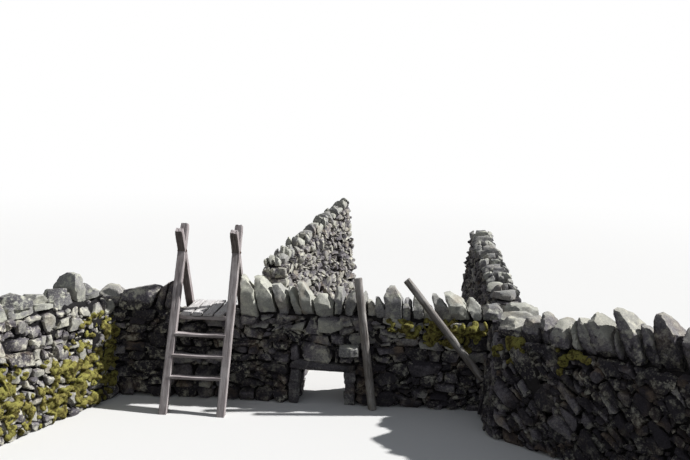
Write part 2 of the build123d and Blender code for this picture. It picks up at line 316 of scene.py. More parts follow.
stoneReads = {"stoneFacts": {"Red": "Tint", "Green": "Moss", "Blue": "Lichen", "Alpha": "Warmth"}}
wallStone = makeMaterial("wallStone", stoneGroup, 0.006, {
    "Dark": (0.026, 0.023, 0.029),
    "Middle": (0.175, 0.160, 0.176),
    "Pale": (0.45, 0.44, 0.385),
    "Rusty": (0.235, 0.175, 0.125),
    "Lichen Colour": (0.64, 0.615, 0.51),
    "Moss Colour": (0.30, 0.28, 0.075),
}, stoneReads)
# a near-black copy of the stone, as painted shade deep in the joints behind the face stones
hearting = makeMaterial("hearting", stoneGroup, 0.006, {
    "Dark": (0.006, 0.005, 0.006),
    "Middle": (0.018, 0.016, 0.017),
    "Pale": (0.035, 0.033, 0.032),
    "Rusty": (0.02, 0.015, 0.012),
    "Lichen Colour": (0.04, 0.04, 0.035),
    "Moss Colour": (0.03, 0.027, 0.01),
}, stoneReads)
copingStone = makeMaterial("copingStone", stoneGroup, 0.006, {
    "Dark": (0.12, 0.115, 0.122),
    "Middle": (0.27, 0.262, 0.264),
    "Pale": (0.48, 0.475, 0.42),
    "Rusty": (0.29, 0.235, 0.185),
    "Lichen Colour": (0.60, 0.60, 0.50),
    "Moss Colour": (0.36, 0.34, 0.09),
}, stoneReads)
dressedStone = makeMaterial("dressedStone", stoneGroup, 0.006, {
    "Dark": (0.075, 0.069, 0.077),
    "Middle": (0.165, 0.155, 0.162),
    "Pale": (0.30, 0.285, 0.275),
    "Rusty": (0.22, 0.17, 0.13),
    "Lichen Colour": (0.46, 0.45, 0.41),
    "Moss Colour": (0.20, 0.18, 0.03),
}, stoneReads)
timberReads = {"grainPlace": "Vector"}
weatheredTimber = makeMaterial("weatheredTimber", timberGroup, 0.003, {
    "Streak": (0.33, 0.285, 0.282),
    "Body": (0.44, 0.39, 0.385),
    "Bleached": (0.57, 0.52, 0.51),
    "Stain": (0.29, 0.26, 0.24),
    "Damp": (0.085, 0.066, 0.055),
}, timberReads)
paleSlat = makeMaterial("paleSlat", timberGroup, 0.003, {
    "Streak": (0.55, 0.52, 0.505),
    "Body": (0.67, 0.645, 0.63),
    "Bleached": (0.74, 0.72, 0.705),
    "Stain": (0.51, 0.48, 0.44),
    "Damp": (0.10, 0.08, 0.07),
}, timberReads)
oldPole = makeMaterial("oldPole", timberGroup, 0.003, {
    "Streak": (0.17, 0.15, 0.138),
    "Body": (0.30, 0.275, 0.255),
    "Bleached": (0.46, 0.435, 0.41),
    "Stain": (0.20, 0.19, 0.14),
    "Damp": (0.07, 0.055, 0.045),
}, timberReads)


ironPlan = {"colour": (0.16, 0.10, 0.07), "darker": (0.096, 0.06, 0.042), "patchScale": 160.0}


def makeIron(plan):
    material, tree, shader = newMaterial("rustyIron", {"Roughness": 0.75, "Metallic": 0.4})
    patch = addNoise(tree, objectPlace(tree), plan["patchScale"])
    feed(tree, mixColours(tree, patch, plan["darker"], plan["colour"]), shader.inputs["Base Color"])
    return material


rustyIron = makeIron(ironPlan)
print("materials made")


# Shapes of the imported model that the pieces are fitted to

def mergedCopy(node):
    bm = bmesh.new()
    bm.from_mesh(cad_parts[node].data)
    bmesh.ops.remove_doubles(bm, verts=bm.verts[:], dist=0.0002)
    bmesh.ops.dissolve_limit(bm, angle_limit=0.01, verts=bm.verts[:], edges=bm.edges[:])
    return bm


def looseParts(bm):
    # The faces of each solid in a mesh, which are joined by shared edges
    taken = set()
    parts = []
    for first in bm.faces:
        if first in taken:
            continue
        taken.add(first)
        part = [first]
        for face in part:
            for edge in face.edges:
                for other in edge.link_faces:
                    if other not in taken:
                        taken.add(other)
                        part.append(other)
        parts.append(part)
    return parts


def cornersOf(faces):
    return np.array(sorted({vert.co[:] for face in faces for vert in face.verts}))


def cutOff(bm, point, normal):
    # Takes away what lies beyond a plane, and closes the cut
    geometry = bm.verts[:] + bm.edges[:] + bm.faces[:]
    cut = bmesh.ops.bisect_plane(bm, geom=geometry, plane_co=point, plane_no=normal, clear_outer=True)
    rim = [item for item in cut["geom_cut"] if isinstance(item, bmesh.types.BMEdge)]
    if rim:
        bmesh.ops.edgeloop_fill(bm, edges=rim)


def splitSolid(bm, part, cuts):
    # One of the solids in a mesh, cut by planes into closed pieces
    bm.faces.index_update()
    kept = {face.index for face in part}
    whole = bm.copy()
    bmesh.ops.delete(whole, geom=[face for face in whole.faces if face.index not in kept], context="FACES")
    pieces = [whole]
    for point, normal in cuts:
        halves = []
        for piece in pieces:
            other = piece.copy()
            cutOff(piece, point, normal)
            cutOff(other, point, -normal)
            halves += [piece, other]
        pieces = [half for half in halves if half.faces]
    for piece in pieces:
        bmesh.ops.recalc_face_normals(piece, faces=piece.faces[:])
    return pieces


def planesOf(faces):
    normals = np.array([face.normal[:] for face in faces])
    offsets = np.array([face.normal.dot(face.calc_center_median()) for face in faces])
    return normals, offsets


def bodiesOf(*nodes):
    bodies = []
    for node in nodes:
        bm = mergedCopy(node)
        bodies += [planesOf(part) for part in looseParts(bm)]
        bm.free()
    return bodies


def insideAny(point, bodies):
    return any((normals @ point < offsets).all() for normals, offsets in bodies)


# Stones: a blank is a gridded cube, and each stone is pressed from one between its own planes

pressPlan = {
    "leastSlide": 0.12,  # planes that meet more flatly than this have no arris
    "overrun": 1.02,  # how far past a third plane a slide may end
    "calmPasses": 3,
    "calmLimit": 0.56,  # how far a point may stand out, as a share of its edges
}


def makeBlank(acrossCuts, depthCuts, plainBack=False):
    # The cube's back, at low y, may be a single face
    bm = bmesh.new()
    bmesh.ops.create_cube(bm, size=2)
    for axis, cuts in ((0, acrossCuts), (2, acrossCuts), (1, depthCuts)):
        bmesh.ops.subdivide_edges(bm, edges=edgesAlong(bm, axis, 1.9), cuts=cuts, use_grid_fill=True)
    if plainBack:
        bm.normal_update()
        bmesh.ops.dissolve_faces(bm, faces=[face for face in bm.faces if face.normal.y < -0.9])
    for face in bm.faces:
        face.smooth = True
    mesh = newMesh(f"stoneBlank{acrossCuts}x{depthCuts}", bm)
    points = np.array([vert.co[:] for vert in mesh.vertices])
    return mesh, points, np.array([edge.vertices[:] for edge in mesh.edges])


def pressStone(points, halfSize, normals, reaches, snap):
    # Points run out from the middle to the nearest plane, then those near an arris or a corner slide to it
    rays = points * halfSize
    share = (rays @ normals.T) / reaches
    points = rays / share.max(axis=1)[:, None]
    first = share.argmax(axis=1)
    spare = share.copy()
    spare[np.arange(len(points)), first] = -1
    second = spare.argmax(axis=1)
    spare[np.arange(len(points)), second] = -1
    third = spare.argmax(axis=1)
    held = [normals[first]]
    for rival in (second, third):
        gap = reaches[rival] - (points * normals[rival]).sum(axis=1)
        slide = normals[rival].copy()
        for other in held:
            slide -= other * (slide * other).sum(axis=1)[:, None]
        length = np.linalg.norm(slide, axis=1)
        step = gap / np.maximum(length, 1e-6)
        near = (step < snap) & (length > pressPlan["leastSlide"]) & (step > 0)
        unit = slide / np.maximum(length, 1e-6)[:, None]
        moved = points + unit * np.where(near, step, 0)[:, None]
        near &= ((moved @ normals.T) / reaches).max(axis=1) < pressPlan["overrun"]
        points = np.where(near[:, None], moved, points)
        held.append(unit * near[:, None])
    return points


def calmed(points, edges):
    # Points that stand too far out from their neighbours are drawn in
    for step in range(pressPlan["calmPasses"]):
        lengths = np.linalg.norm(points[edges[:, 0]] - points[edges[:, 1]], axis=1)
        around, span, count = np.zeros_like(points), np.zeros(len(points)), np.zeros(len(points))
        for here, there in ((0, 1), (1, 0)):
            np.add.at(around, edges[:, here], points[edges[:, there]])
            np.add.at(span, edges[:, here], lengths)
            np.add.at(count, edges[:, here], 1)
        around /= count[:, None]
        away = points - around
        allowed = pressPlan["calmLimit"] * span / count
        share = allowed / np.maximum(np.linalg.norm(away, axis=1), 1e-9)
        points = around + away * np.minimum(1, share)[:, None]
    return points


noiseShift = (0, 50)  # where in the noise a stone's lumps are read


def roughen(points, seed, layers):
    # layers are pairs of lump size and height, in metres
    for size, height in layers:
        shift = Vector((seed, -seed, 2 * seed))
        lumps = [noise.noise_vector(Vector(point) / size + shift)[:] for point in points]
        points = points + height * np.array(lumps)
    return points


castPlan = {
    "sharp": 38,  # degrees from which an arris is shaded sharp
    "inset": 0.0015,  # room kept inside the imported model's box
    # the first is painted light on upper sides; the joint numbers give painted shade on what lies back in a
    # joint, full at jointDepth
    "topPaler": 0.16,
    "topMoss": 0.08,
    "topLichen": 0.2,
    "jointDark": 0.65,
    "jointDepth": 0.055,
}


def inBox(points):
    return np.clip(points, np.array(cadLow) + castPlan["inset"], np.array(cadHigh) - castPlan["inset"])


def writeFacts(mesh, facts):
    # Each point's tint, moss, lichen and warmth, for the stone materials
    attribute = mesh.attributes.new("stoneFacts", "FLOAT_COLOR", "POINT")
    attribute.data.foreach_set("color", facts.astype(np.float32).ravel())


def castStones(name, stones, topPaler):
    # One mesh of all the stones. Upper sides get painted light and more moss, and what lies back in a joint
    # gets painted shade
    bm = bmesh.new()
    for stone in stones:
        bm.from_mesh(stone["blank"][0])
    mesh = newMesh(name, bm)
    points = inBox(np.concatenate([stone["points"] for stone in stones]))
    mesh.vertices.foreach_set("co", points.astype(np.float32).ravel())
    mesh.update()
    mesh.set_sharp_from_angle(angle=math.radians(castPlan["sharp"]))
    facts = np.concatenate([np.tile(stone["facts"], (len(stone["points"]), 1)) for stone in stones])
    sunk = np.concatenate([stone["sunk"] for stone in stones])
    normals = np.zeros(len(points) * 3, np.float32)
    mesh.vertex_normals.foreach_get("vector", normals)
    rise = normals.reshape(-1, 3)[:, 2]
    # painted light on faces that turn up, painted shade on stone that lies back in a joint
    facts[:, 0] += topPaler * rise - castPlan["jointDark"] * np.clip(sunk / castPlan["jointDepth"], 0, 1)
    facts[:, 1] += castPlan["topMoss"] * rise
    facts[:, 2] += castPlan["topLichen"] * np.clip(rise, 0, 1)
    writeFacts(mesh, facts)
    return mesh


def addPiece(name, mesh, material, slot, *nodes):
    piece = linkObject(name, mesh)
    mesh.materials.clear()
    mesh.materials.append(material)
    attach(piece, "root")
    if nodes:
        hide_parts(*nodes)


# Faces of walling, cut into stones by lines that are a little off level and plumb

def cutPolygon(polygon, point, normal):
    # The part of a convex polygon on the near side of a line, and the part beyond it
    near, beyond = [], []
    for here, there in zip(polygon, polygon[1:] + polygon[:1]):
        heights = [(end - point).dot(normal) for end in (here, there)]
        (near if heights[0] <= 0 else beyond).append(here)
        if heights[0] * heights[1] < 0:
            crossing = here.lerp(there, heights[0] / (heights[0] - heights[1]))
            near.append(crossing)
            beyond.append(crossing)
    return near, beyond


def spanOf(polygon):
    low = Vector([min(point[axis] for point in polygon) for axis in (0, 1)])
    high = Vector([max(point[axis] for point in polygon) for axis in (0, 1)])
    return low, high


def cutFace(polygon, plan, rng, holes):
    # Cells of the face, one for each stone. Near a hole the lines follow its edges
    if len(polygon) < 3:
        return []
    low, high = spanOf(polygon)
    width, height = high - low
    if min(width, height) < plan["smallest"]:
        return []
    for left, bottom, right, top in holes:
        overX = min(high.x, right) - max(low.x, left)
        overY = min(high.y, top) - max(low.y, bottom)
        if min(overX, overY) < plan["trim"]:
            continue
        lines = []
        for axis, limits in ((0, (left, right)), (1, (bottom, top))):
            across = Vector((1 - axis, axis))
            first, last = low[axis], high[axis] - 2 * plan["sliver"]
            lines += [(across * at, across) for at in limits if first < at - plan["sliver"] < last]
        if not lines:
            return []
        if width < plan["holeReach"] and height < plan["holeReach"]:
            near, beyond = cutPolygon(polygon, *lines[0])
            return cutFace(near, plan, rng, holes) + cutFace(beyond, plan, rng, holes)
    wanted = math.exp(rng.gauss(math.log(plan["area"]), plan["spread"]))
    slender = rng.uniform(*plan["slender"])
    if width * height < wanted and width < plan["longest"] * slender * height and height < plan["tallest"]:
        return [polygon]
    middle = Vector((low.x + width * rng.uniform(*plan["cutX"]), low.y + height * rng.uniform(*plan["cutY"])))
    if height < plan["band"] and width > slender * height:
        lean = math.radians(rng.gauss(0, plan["leanUpright"]))
        normal = Vector((math.cos(lean), math.sin(lean)))
    else:
        lean = math.radians(rng.gauss(0, plan["leanBed"] / max(1.0, width)))
        normal = Vector((math.sin(lean), math.cos(lean)))
    near, beyond = cutPolygon(polygon, middle, normal)
    return cutFace(near, plan, rng, holes) + cutFace(beyond, plan, rng, holes)


def turned(polygon, degrees):
    turn = Matrix.Rotation(math.radians(degrees), 2)
    return [turn @ point for point in polygon]


def convexHull(points):
    # Outline of points in a plane, anticlockwise
    points = sorted({(round(point.x, 5), round(point.y, 5)) for point in points})

    def halfOf(ordered):
        chain = []
        for point in ordered:
            while len(chain) > 1 and (
                (chain[-1][0] - chain[-2][0]) * (point[1] - chain[-2][1])
                <= (chain[-1][1] - chain[-2][1]) * (point[0] - chain[-2][0])
            ):
                chain.pop()
            chain.append(point)
        return chain[:-1]

    return [Vector(point) for point in halfOf(points) + halfOf(points[::-1])]


class Face:
    # A flat face of walling with its own axes: along, up the face and out of it
    def __init__(self, normal, corners):
        self.out = normal.normalized()
        level = Vector((0, 0, 1)).cross(self.out)
        if level.length < 0.5:
            level = Vector((1, 0, 0)) - self.out * self.out.x
        self.along = level.normalized()
        self.up = self.out.cross(self.along)
        self.origin = self.out * self.out.dot(corners[0])
        self.corners = list(corners)
        self.turn = np.array([self.along[:], self.out[:], self.up[:]])

    def flat(self, point):
        return Vector((self.along.dot(point), self.up.dot(point)))

    def outline(self):
        return convexHull([self.flat(corner) for corner in self.corners])

    def raised(self, point, height=0.0):
        return self.origin + self.along * point.x + self.up * point.y + self.out * height

    def apart(self, point):
        # How far a point lies off the face and beyond its outline
        low, high = spanOf(self.outline())
        spot = self.flat(point)
        beyond = max(low.x - spot.x, spot.x - high.x, low.y - spot.y, spot.y - high.y, 0)
        return abs(self.out.dot(point - self.origin)) + beyond

    def matches(self, other):
        return self.out.dot(other.out) > 0.9999 and abs(self.out.dot(other.origin - self.origin)) < 0.003


uprightBelow = 0.3  # a face counts as upright where its normal rises less than this


def wallFaces(nodes):
    # The upright faces of a wall, with those in one plane joined, and its tops
    upright, tops = [], []
    for node in nodes:
        bm = mergedCopy(node)
        for face in bm.faces:
            found = Face(face.normal, [vert.co.copy() for vert in face.verts])
            if face.normal.z > 0.9:
                tops.append(found)
            elif abs(face.normal.z) < uprightBelow and face.calc_area() > 0.02:
                for other in upright:
                    if found.matches(other):
                        other.corners += found.corners
                        break
                else:
                    upright.append(found)
        bm.free()
    return upright, tops


def stonePlanes(cell, plan, rng, depth, openEdges):
    # Planes that hold one stone: joints, broken corners, worn arrises, face and back
    middle = sum(cell, Vector((0, 0))) / len(cell)
    normals, reaches = [], []
    bevel = rng.uniform(*plan["arris"])
    for here, there in zip(cell, cell[1:] + cell[:1]):
        edge = there - here
        if edge.length < plan["leastEdge"]:
            continue
        side = Vector((edge.y, -edge.x)).normalized()
        reach = side.dot(here - middle) - rng.uniform(*plan["joint"]) / 2
        if openEdges(here, there):
            reach += rng.uniform(*plan["past"])
        reach = max(reach, plan["leastReach"])
        tilt = math.radians(rng.gauss(*plan["taper"]))
        normals.append((side.x * math.cos(tilt), -math.sin(tilt), side.y * math.cos(tilt)))
        reaches.append(reach)
        slope = math.radians(rng.uniform(*plan["slope"]))
        cut = bevel * rng.uniform(*plan["arrisVaries"])
        if side.y > 0.6:  # an upper side
            cut += rng.uniform(*plan["shed"])
        normals.append((side.x * math.sin(slope), math.cos(slope), side.y * math.sin(slope)))
        reaches.append(reach * math.sin(slope) + depth / 2 * math.cos(slope) - cut)
        corner = here - middle
        if rng.random() < plan["broken"]:
            lean = rng.uniform(*plan["brokenLean"])
            normals.append((corner.x / corner.length, lean, corner.y / corner.length))
            reaches.append(corner.length * rng.uniform(*plan["brokenTo"]))
    for share in (1.0, rng.uniform(*plan["secondFace"])):
        tiltX, tiltZ = rng.gauss(0, plan["faceTilt"]), rng.gauss(0, plan["faceTilt"])
        normals.append((tiltX, 1.0, tiltZ))
        reaches.append(depth / 2 * share)
    normals.append((0.0, -1.0, 0.0))
    reaches.append(depth / 2)
    normals = np.array(normals)
    lengths = np.linalg.norm(normals, axis=1)
    return middle, normals / lengths[:, None], np.maximum(np.array(reaches) / lengths, plan["leastDepth"])


pinBlank = makeBlank(1, 1)
lookOut = 0.07  # how far out of a face a spot is tested for lying inside another wall


def layFace(face, outline, plan, rng, blank, holes, hiddenBy):
    # All stones of one face
    stones = []
    cells = [turned(cell, -plan["lie"]) for cell in cutFace(turned(outline, plan["lie"]), plan, rng, holes)]
    faceLow, faceHigh = spanOf(outline)

    def onRim(here, there):
        return any(
            max(abs(here.x - limit), abs(there.x - limit)) < plan["rim"] for limit in (faceLow.x, faceHigh.x)
        )

    for cell in cells:
        if all(insideAny(np.array(face.raised(corner, lookOut)), hiddenBy) for corner in cell):
            continue
        depth = rng.uniform(*plan["depth"])
        low, high = spanOf(cell)
        highUp = max(0.0, 1 - (faceHigh.y - high.y) / plan["topBand"])
        front = rng.triangular(*plan["proud"]) * (1 - plan["topSunk"] * highUp)
        middle, normals, reaches = stonePlanes(cell, plan, rng, depth, onRim)
        half = np.array([(high.x - low.x) / 2, depth / 2, (high.y - low.y) / 2])
        points = pressStone(blank[1], half, normals, reaches, plan["snap"] * (half[0] + half[2]) / 2)
        size = min(1.0, (half[0] + half[2]) / plan["fullSize"])
        layers = [(layer * size, height * size) for layer, height in plan["rough"]]
        points = roughen(points, rng.uniform(*noiseShift), layers)
        twist = Matrix.Rotation(math.radians(rng.gauss(0, plan["twist"])), 3, face.out)
        sunk = points[:, 1].max() - points[:, 1]
        local = points @ face.turn
        centre = face.raised(middle, front - depth / 2)
        local = local @ np.array(twist.transposed()) + np.array(centre)
        drift = noise.noise_vector(centre * plan["wavers"]) * plan["waver"]
        drift *= fadeNear(middle, holes, faceLow, faceHigh)
        local += np.array(face.along * drift.x + face.up * drift.z)
        # stones just under the copes get painted light
        paler = plan["paler"] + plan["topCourse"] * highUp
        facts = stoneFacts(centre, rng, paler, plan["lichened"])
        stones.append({"blank": blank, "points": local, "facts": facts, "sunk": sunk})
    stones += pinStones(face, cells, plan, rng, holes, hiddenBy)
    return stones


pinPlan = {
    "size": (0.02, 0.055),
    "flat": (0.5, 0.95),
    "back": (0.012, 0.06),
    "planes": 11,
    "reach": (0.75, 1.0),
    "snap": 0.3,
    "longest": 1.5,
    "apart": 0.05,
    # pins count as lying this far back, which gives them the painted shade of the joints
    "sunk": 0.035,
}


def pinStones(face, cells, plan, rng, holes, hiddenBy):
    # Small stones wedged into the joints, where corners of the larger ones meet
    if not cells:
        return []
    stones = []
    corners = [corner for cell in cells for corner in cell]
    spots = {tuple(round(value / pinPlan["apart"]) for value in corner): corner for corner in corners}
    low, high = spanOf(corners)
    for corner in spots.values():
        half = rng.uniform(*pinPlan["size"])
        inside = low.x + half < corner.x < high.x - half and low.y + half < corner.y < high.y - half
        inHole = any(
            left - half < corner.x < right + half and bottom - half < corner.y < top + half
            for left, bottom, right, top in holes
        )
        centre = face.raised(corner, -rng.uniform(*pinPlan["back"]) - half)
        if not inside or inHole or rng.random() > plan["pinned"]:
            continue
        if insideAny(np.array(face.raised(corner, lookOut)), hiddenBy):
            continue
        normals = np.array([[rng.gauss(0, 1) for axis in range(3)] for plane in range(pinPlan["planes"])])
        normals /= np.linalg.norm(normals, axis=1)[:, None]
        reaches = np.array([half * rng.uniform(*pinPlan["reach"]) for plane in normals])
        points = pressStone(pinBlank[1], np.array([half] * 3), normals, reaches, half * pinPlan["snap"])
        points = points * np.array([1.0, 1.0, rng.uniform(*pinPlan["flat"])])
        lengths = np.linalg.norm(points, axis=1)
        points *= np.minimum(1.0, pinPlan["longest"] * half / lengths)[:, None]
        stones.append({
            "blank": pinBlank,
            "points": points @ face.turn + np.array(centre),
            "facts": stoneFacts(centre, rng, plan["paler"], plan["lichened"]),
            "sunk": np.full(len(points), pinPlan["sunk"]),
        })
    return stones


stillNear, fullyOff = 0.06, 0.15


def fadeNear(middle, holes, low, high):
    # The share of its drift that a stone keeps: none beside holes and rims
    nearest = min(middle.x - low.x, high.x - middle.x, middle.y - low.y, high.y - middle.y)
    for left, bottom, right, top in holes:
        gapX = max(left - middle.x, middle.x - right, 0)
        gapY = max(bottom - middle.y, middle.y - top, 0)
        nearest = min(nearest, math.hypot(gapX, gapY))
    return min(1.0, max(0.0, nearest - stillNear) / fullyOff)


paintedLightAndShadeSpots = [
    # middle of an area of painted shade (darker stones) or painted light (paler stones), its reach and the
    # change
    ((-0.80, -0.25, 0.60), 0.75, -0.45),
    ((0.70, -0.30, 0.15), 0.70, -0.50),
    ((2.30, -0.30, 0.10), 0.90, -0.55),
    ((0.60, -0.25, 0.95), 0.60, 0.22),
    ((1.30, -0.25, 0.98), 0.60, 0.28),
    ((1.34, -0.28, 0.63), 0.42, -0.55),
    ((2.30, -0.25, 0.95), 0.60, 0.50),
    ((2.95, -0.25, 0.95), 0.50, 0.40),
    ((4.90, -2.30, 0.55), 1.20, -0.50),
    ((0.68, 0.24, 1.40), 0.50, 0.50),
]


mossSpots = [
    # middle of a mossy area, its reach and how thick the moss is
    ((-1.02, -0.50, 0.62), 0.52, 0.95),
    ((-1.18, -0.85, 0.42), 0.50, 0.90),
    ((-1.40, -1.25, 0.30), 0.42, 0.75),
    ((-1.72, -1.95, 0.42), 0.50, 0.95),
    ((3.10, -0.242, 0.98), 0.34, 0.95),
    ((2.75, -0.243, 0.97), 0.26, 0.90),
    ((2.38, -0.243, 0.97), 0.20, 0.85),
    ((3.55, -1.05, 1.15), 0.40, 0.70),
    ((4.10, -1.55, 1.15), 0.35, 0.55),
]


factsPlan = {
    "tint": (0.46, 0.3),  # middle and spread
    "palest": 1.25,
    "lichen": (0.45, 0.3),
    "mostLichen": 1.2,
    "paleLichen": 0.8,  # more lichen in the areas of painted light
    "warmest": 0.8,
    "footMoss": 0.12,
    "footTop": 0.2,
    "stoneMoss": 0.65,
}


def spotValues(spots, centre):
    # What each spot gives to a place, fading towards its rim
    values = []
    for middle, reach, amount in spots:
        values.append(amount * max(0.0, 1 - ((centre - Vector(middle)).length / reach) ** 2))
    return values


def stoneFacts(centre, rng, paler, lichened):
    # Tint, moss, lichen and warmth of one stone
    plan = factsPlan
    # tone is the painted light or painted shade of the spots around this place
    tone = sum(spotValues(paintedLightAndShadeSpots, centre))
    tint = rng.gauss(*plan["tint"]) + paler + tone
    lichen = rng.gauss(*plan["lichen"]) + lichened + plan["paleLichen"] * max(0.0, tone)
    warmth = rng.random() ** 2 * plan["warmest"]
    atFoot = plan["footMoss"] if centre.z < plan["footTop"] else 0.0
    moss = max(atFoot, plan["stoneMoss"] * max(spotValues(mossSpots, centre)))
    return (min(plan["palest"], max(0.0, tint)), moss, min(plan["mostLichen"], max(0.0, lichen)), warmth)


rubblePlan = {
    "area": 0.075,  # square metres of a middling stone
    "spread": 0.75,
    "slender": (1.3, 3.0),
    "longest": 2.2,  # times as slender as wanted, at most
    "tallest": 0.27,
    "cutX": (0.36, 0.64),  # where a cut may run, as a share of the width
    "cutY": (0.34, 0.66),
    "band": 0.6,
    "smallest": 0.03,
    "trim": 0.012,
    "sliver": 0.005,
    "holeReach": 0.62,
    "lie": 0,  # degrees that the beds slope down towards the right
    "leanUpright": 22,
    "leanBed": 11,
    "joint": (0.004, 0.030),
    "past": (-0.03, 0.012),
    "arris": (0.001, 0.012),
    "arrisVaries": (0.4, 1.5),
    "shed": (0.0, 0.04),  # how far the upper arris is worn back
    "broken": 0.75,
    "brokenTo": (0.68, 0.92),
    "brokenLean": (-0.2, 0.5),
    "taper": (3, 5),  # degrees that a stone narrows towards its back, and their spread
    "slope": (28, 62),  # degrees of a worn arris
    "leastEdge": 0.004,
    "leastReach": 0.012,
    "leastDepth": 0.01,
    "faceTilt": 0.20,
    "secondFace": (0.9, 1.05),  # depth of a second plane that breaks the face, as a share of the first's
    "depth": (0.15, 0.21),
    "proud": (-0.050, 0.016, -0.010),
    "snap": 0.19,
    "rough": [(0.11, 0.014), (0.04, 0.006), (0.018, 0.0025)],
    "fullSize": 0.2,  # stones smaller than this are roughened less
    "rim": 0.012,  # how near a wall's end a joint counts as its rim
    "topBand": 0.12,  # depth of the top course, which stands less proud
    "topSunk": 0.7,
    "twist": 5.0,
    "waver": 0.05,
    "wavers": 1.4,  # waves in a metre
    "paler": -0.06,
    "topCourse": 0.35,  # painted light: how much paler the stones just under the copes are
    "lichened": 0.0,
    "pinned": 0.9,  # share of the joints' corners that hold a pin stone
    "farArea": 1.7,  # how much larger the stones are on sides turned away from the camera
}

topChanges = {  # for the tops of the walls, between the copes
    "slender": (0.8, 1.4),
    "proud": (-0.02, 0.012, 0.0),
    "depth": (0.08, 0.12),
    "past": (-0.02, 0.0),
    "waver": 0.0,
}

wallPlans = {
    "crossedWall": {
        "nodes": (
            "left_wall_bay",
            "stile_wall_bay",
            "middle_wall_bay",
            "wall_over_sheep_hole",
            "right_wall_bay",
        ),
        "cuts": (7, 1),
        "seed": 11,
    },
    "leftReturn": {
        "nodes": ("left_return_wall",),
        "cuts": (6, 1),
        "seed": 23,
        "changes": {
            "area": 0.045,
            "slender": (1.0, 1.9),
            "broken": 0.95,
            "joint": (0.008, 0.036),
            "paler": 0.52,
            "lichened": 0.65,
        },
    },
    "rightWing": {
        "nodes": ("right_return_wall", "right_wing_wall"),
        "cuts": (7, 1),
        "seed": 37,
        "changes": {
            "area": 0.044,
            "slender": (1.6, 3.6),
            "lie": 46,
            "joint": (0.006, 0.032),
            "waver": 0.03,
            # darker stones, for damp and as painted shade on this shaded side
            "paler": -0.14,
            "topCourse": 0.1,
            "lichened": -0.2,
        },
    },
    "spur": {
        "nodes": ("spur_wall",),
        "cuts": (4, 1),
        "seed": 41,
        "changes": {
            "area": 0.042,
            "slender": (1.8, 3.6),
            "tallest": 0.17,
            "broken": 0.95,
            "pinned": 0.35,
            "farArea": 2.2,
            "proud": (-0.035, 0.014, -0.006),
            "paler": 0.28,
            "lichened": 0.45,
        },
    },
    "rearWall": {
        "nodes": ("rear_wall",),
        "cuts": (4, 1),
        "seed": 59,
        "changes": {
            "area": 0.056,
            "slender": (1.6, 3.2),
            "tallest": 0.2,
            "pinned": 0.6,
            "proud": (-0.035, 0.014, -0.006),
            "paler": -0.1,
        },
    },
}
holeNodes = ("sheep_hole_left_jamb", "sheep_hole_right_jamb", "sheep_hole_lintel", "step_stone")
corePlan = {
    "recess": 0.10,
    "lift": 0.045,  # how far the hearting reaches up between the copes
    "stileDrop": 0.012,  # and how far it stays down under the platform
    "voxel": 0.056,
    "lumps": 0.11,
    "height": 0.034,
    "sharper": 1.6,
    "facts": (0.12, 0.0, 0.1, 0.3),
    "floor": 0.002,
}
endInset = 0.06
topInset = 0.09
narrowEnd = 0.25  # narrower ends are steps between bays and get no stones of their own
allBodies = {key: bodiesOf(*plan["nodes"]) for key, plan in wallPlans.items()}
copeNodes = [node for node in sorted(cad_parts) if node.endswith("_coping")]
copeBodies = bodiesOf(*copeNodes)


def holesIn(face):
    # Places in the crossed wall's long faces that the sheep hole, the step and the slats take up
    low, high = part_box("sheep_hole_left_jamb")
    farLow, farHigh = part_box("sheep_hole_right_jamb")
    boxes = [(Vector((low.x, 0, 0)), Vector((farHigh.x, 0, high.z)))]
    boxes += [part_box("sheep_hole_lintel"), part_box("step_stone")]
    bayLow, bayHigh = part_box("stile_wall_bay")
    boxes.append((Vector((bayLow.x, 0, bayHigh.z)), Vector((bayHigh.x, 0, bayHigh.z + 0.1))))
    holes = []
    for low, high in boxes:
        ends = sorted((low.x * face.along.x, high.x * face.along.x))
        bottom, top = [(height - face.origin.z) / face.up.z for height in (low.z, high.z)]
        holes.append((ends[0], bottom, ends[1], top))
    return holes


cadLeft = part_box("left_wall_bay")[0].x
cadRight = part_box("right_wall_bay")[1].x


def buildCore(nodes):
    # Hearting behind the face stones, near black as painted shade: the walls' own shapes, drawn in at their
    # faces
    core = bmesh.new()
    for node in nodes:
        bm = mergedCopy(node)
        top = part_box(node)[1].z
        for vert in bm.verts:
            pull = Vector((0, 0, 0))
            for face in vert.link_faces:
                if abs(face.normal.z) < uprightBelow:
                    pull -= Vector((face.normal.x, face.normal.y, 0)).normalized() * corePlan["recess"]
            if len(nodes) > 2 and cadLeft + 0.01 <= vert.co.x <= cadRight - 0.01:
                pull.x = 0  # bays of one wall stay joined
            vert.co += pull
            if vert.co.z > 0.5 * top:
                vert.co.z += -corePlan["stileDrop"] if node == "stile_wall_bay" else corePlan["lift"]
            vert.co.z = max(vert.co.z, corePlan["floor"])
        mesh = newMesh("spare", bm)
        core.from_mesh(mesh)
        bpy.data.meshes.remove(mesh)
    return core


def fused(mesh, voxel):
    # One skin round all the closed shapes of a mesh
    spare = linkObject("spare", mesh)
    remesh = spare.modifiers.new("skin", "REMESH")
    remesh.mode = "VOXEL"
    remesh.voxel_size = voxel
    skin = bpy.data.meshes.new_from_object(spare.evaluated_get(bpy.context.evaluated_depsgraph_get()))
    bpy.data.objects.remove(spare)
    bpy.data.meshes.remove(mesh)
    skin.polygons.foreach_set("use_smooth", [True] * len(skin.polygons))
    return skin


def lumpCore(name, core):
    # The hearting as packed rubble: an even skin, pushed out in lumps
    skin = fused(newMesh("spare", core), corePlan["voxel"])
    skin.name = name
    normals = [Vector(normal.vector) for normal in skin.vertex_normals]
    for vert, normal in zip(skin.vertices, normals):
        nearest, second = noise.voronoi(vert.co / corePlan["lumps"])[0][:2]
        vert.co += normal * corePlan["height"] * (min(1.0, (second - nearest) * corePlan["sharper"]) - 0.5)
        vert.co.z = max(vert.co.z, corePlan["floor"])
    writeFacts(skin, np.tile(corePlan["facts"], (len(skin.vertices), 1)))
    return skin


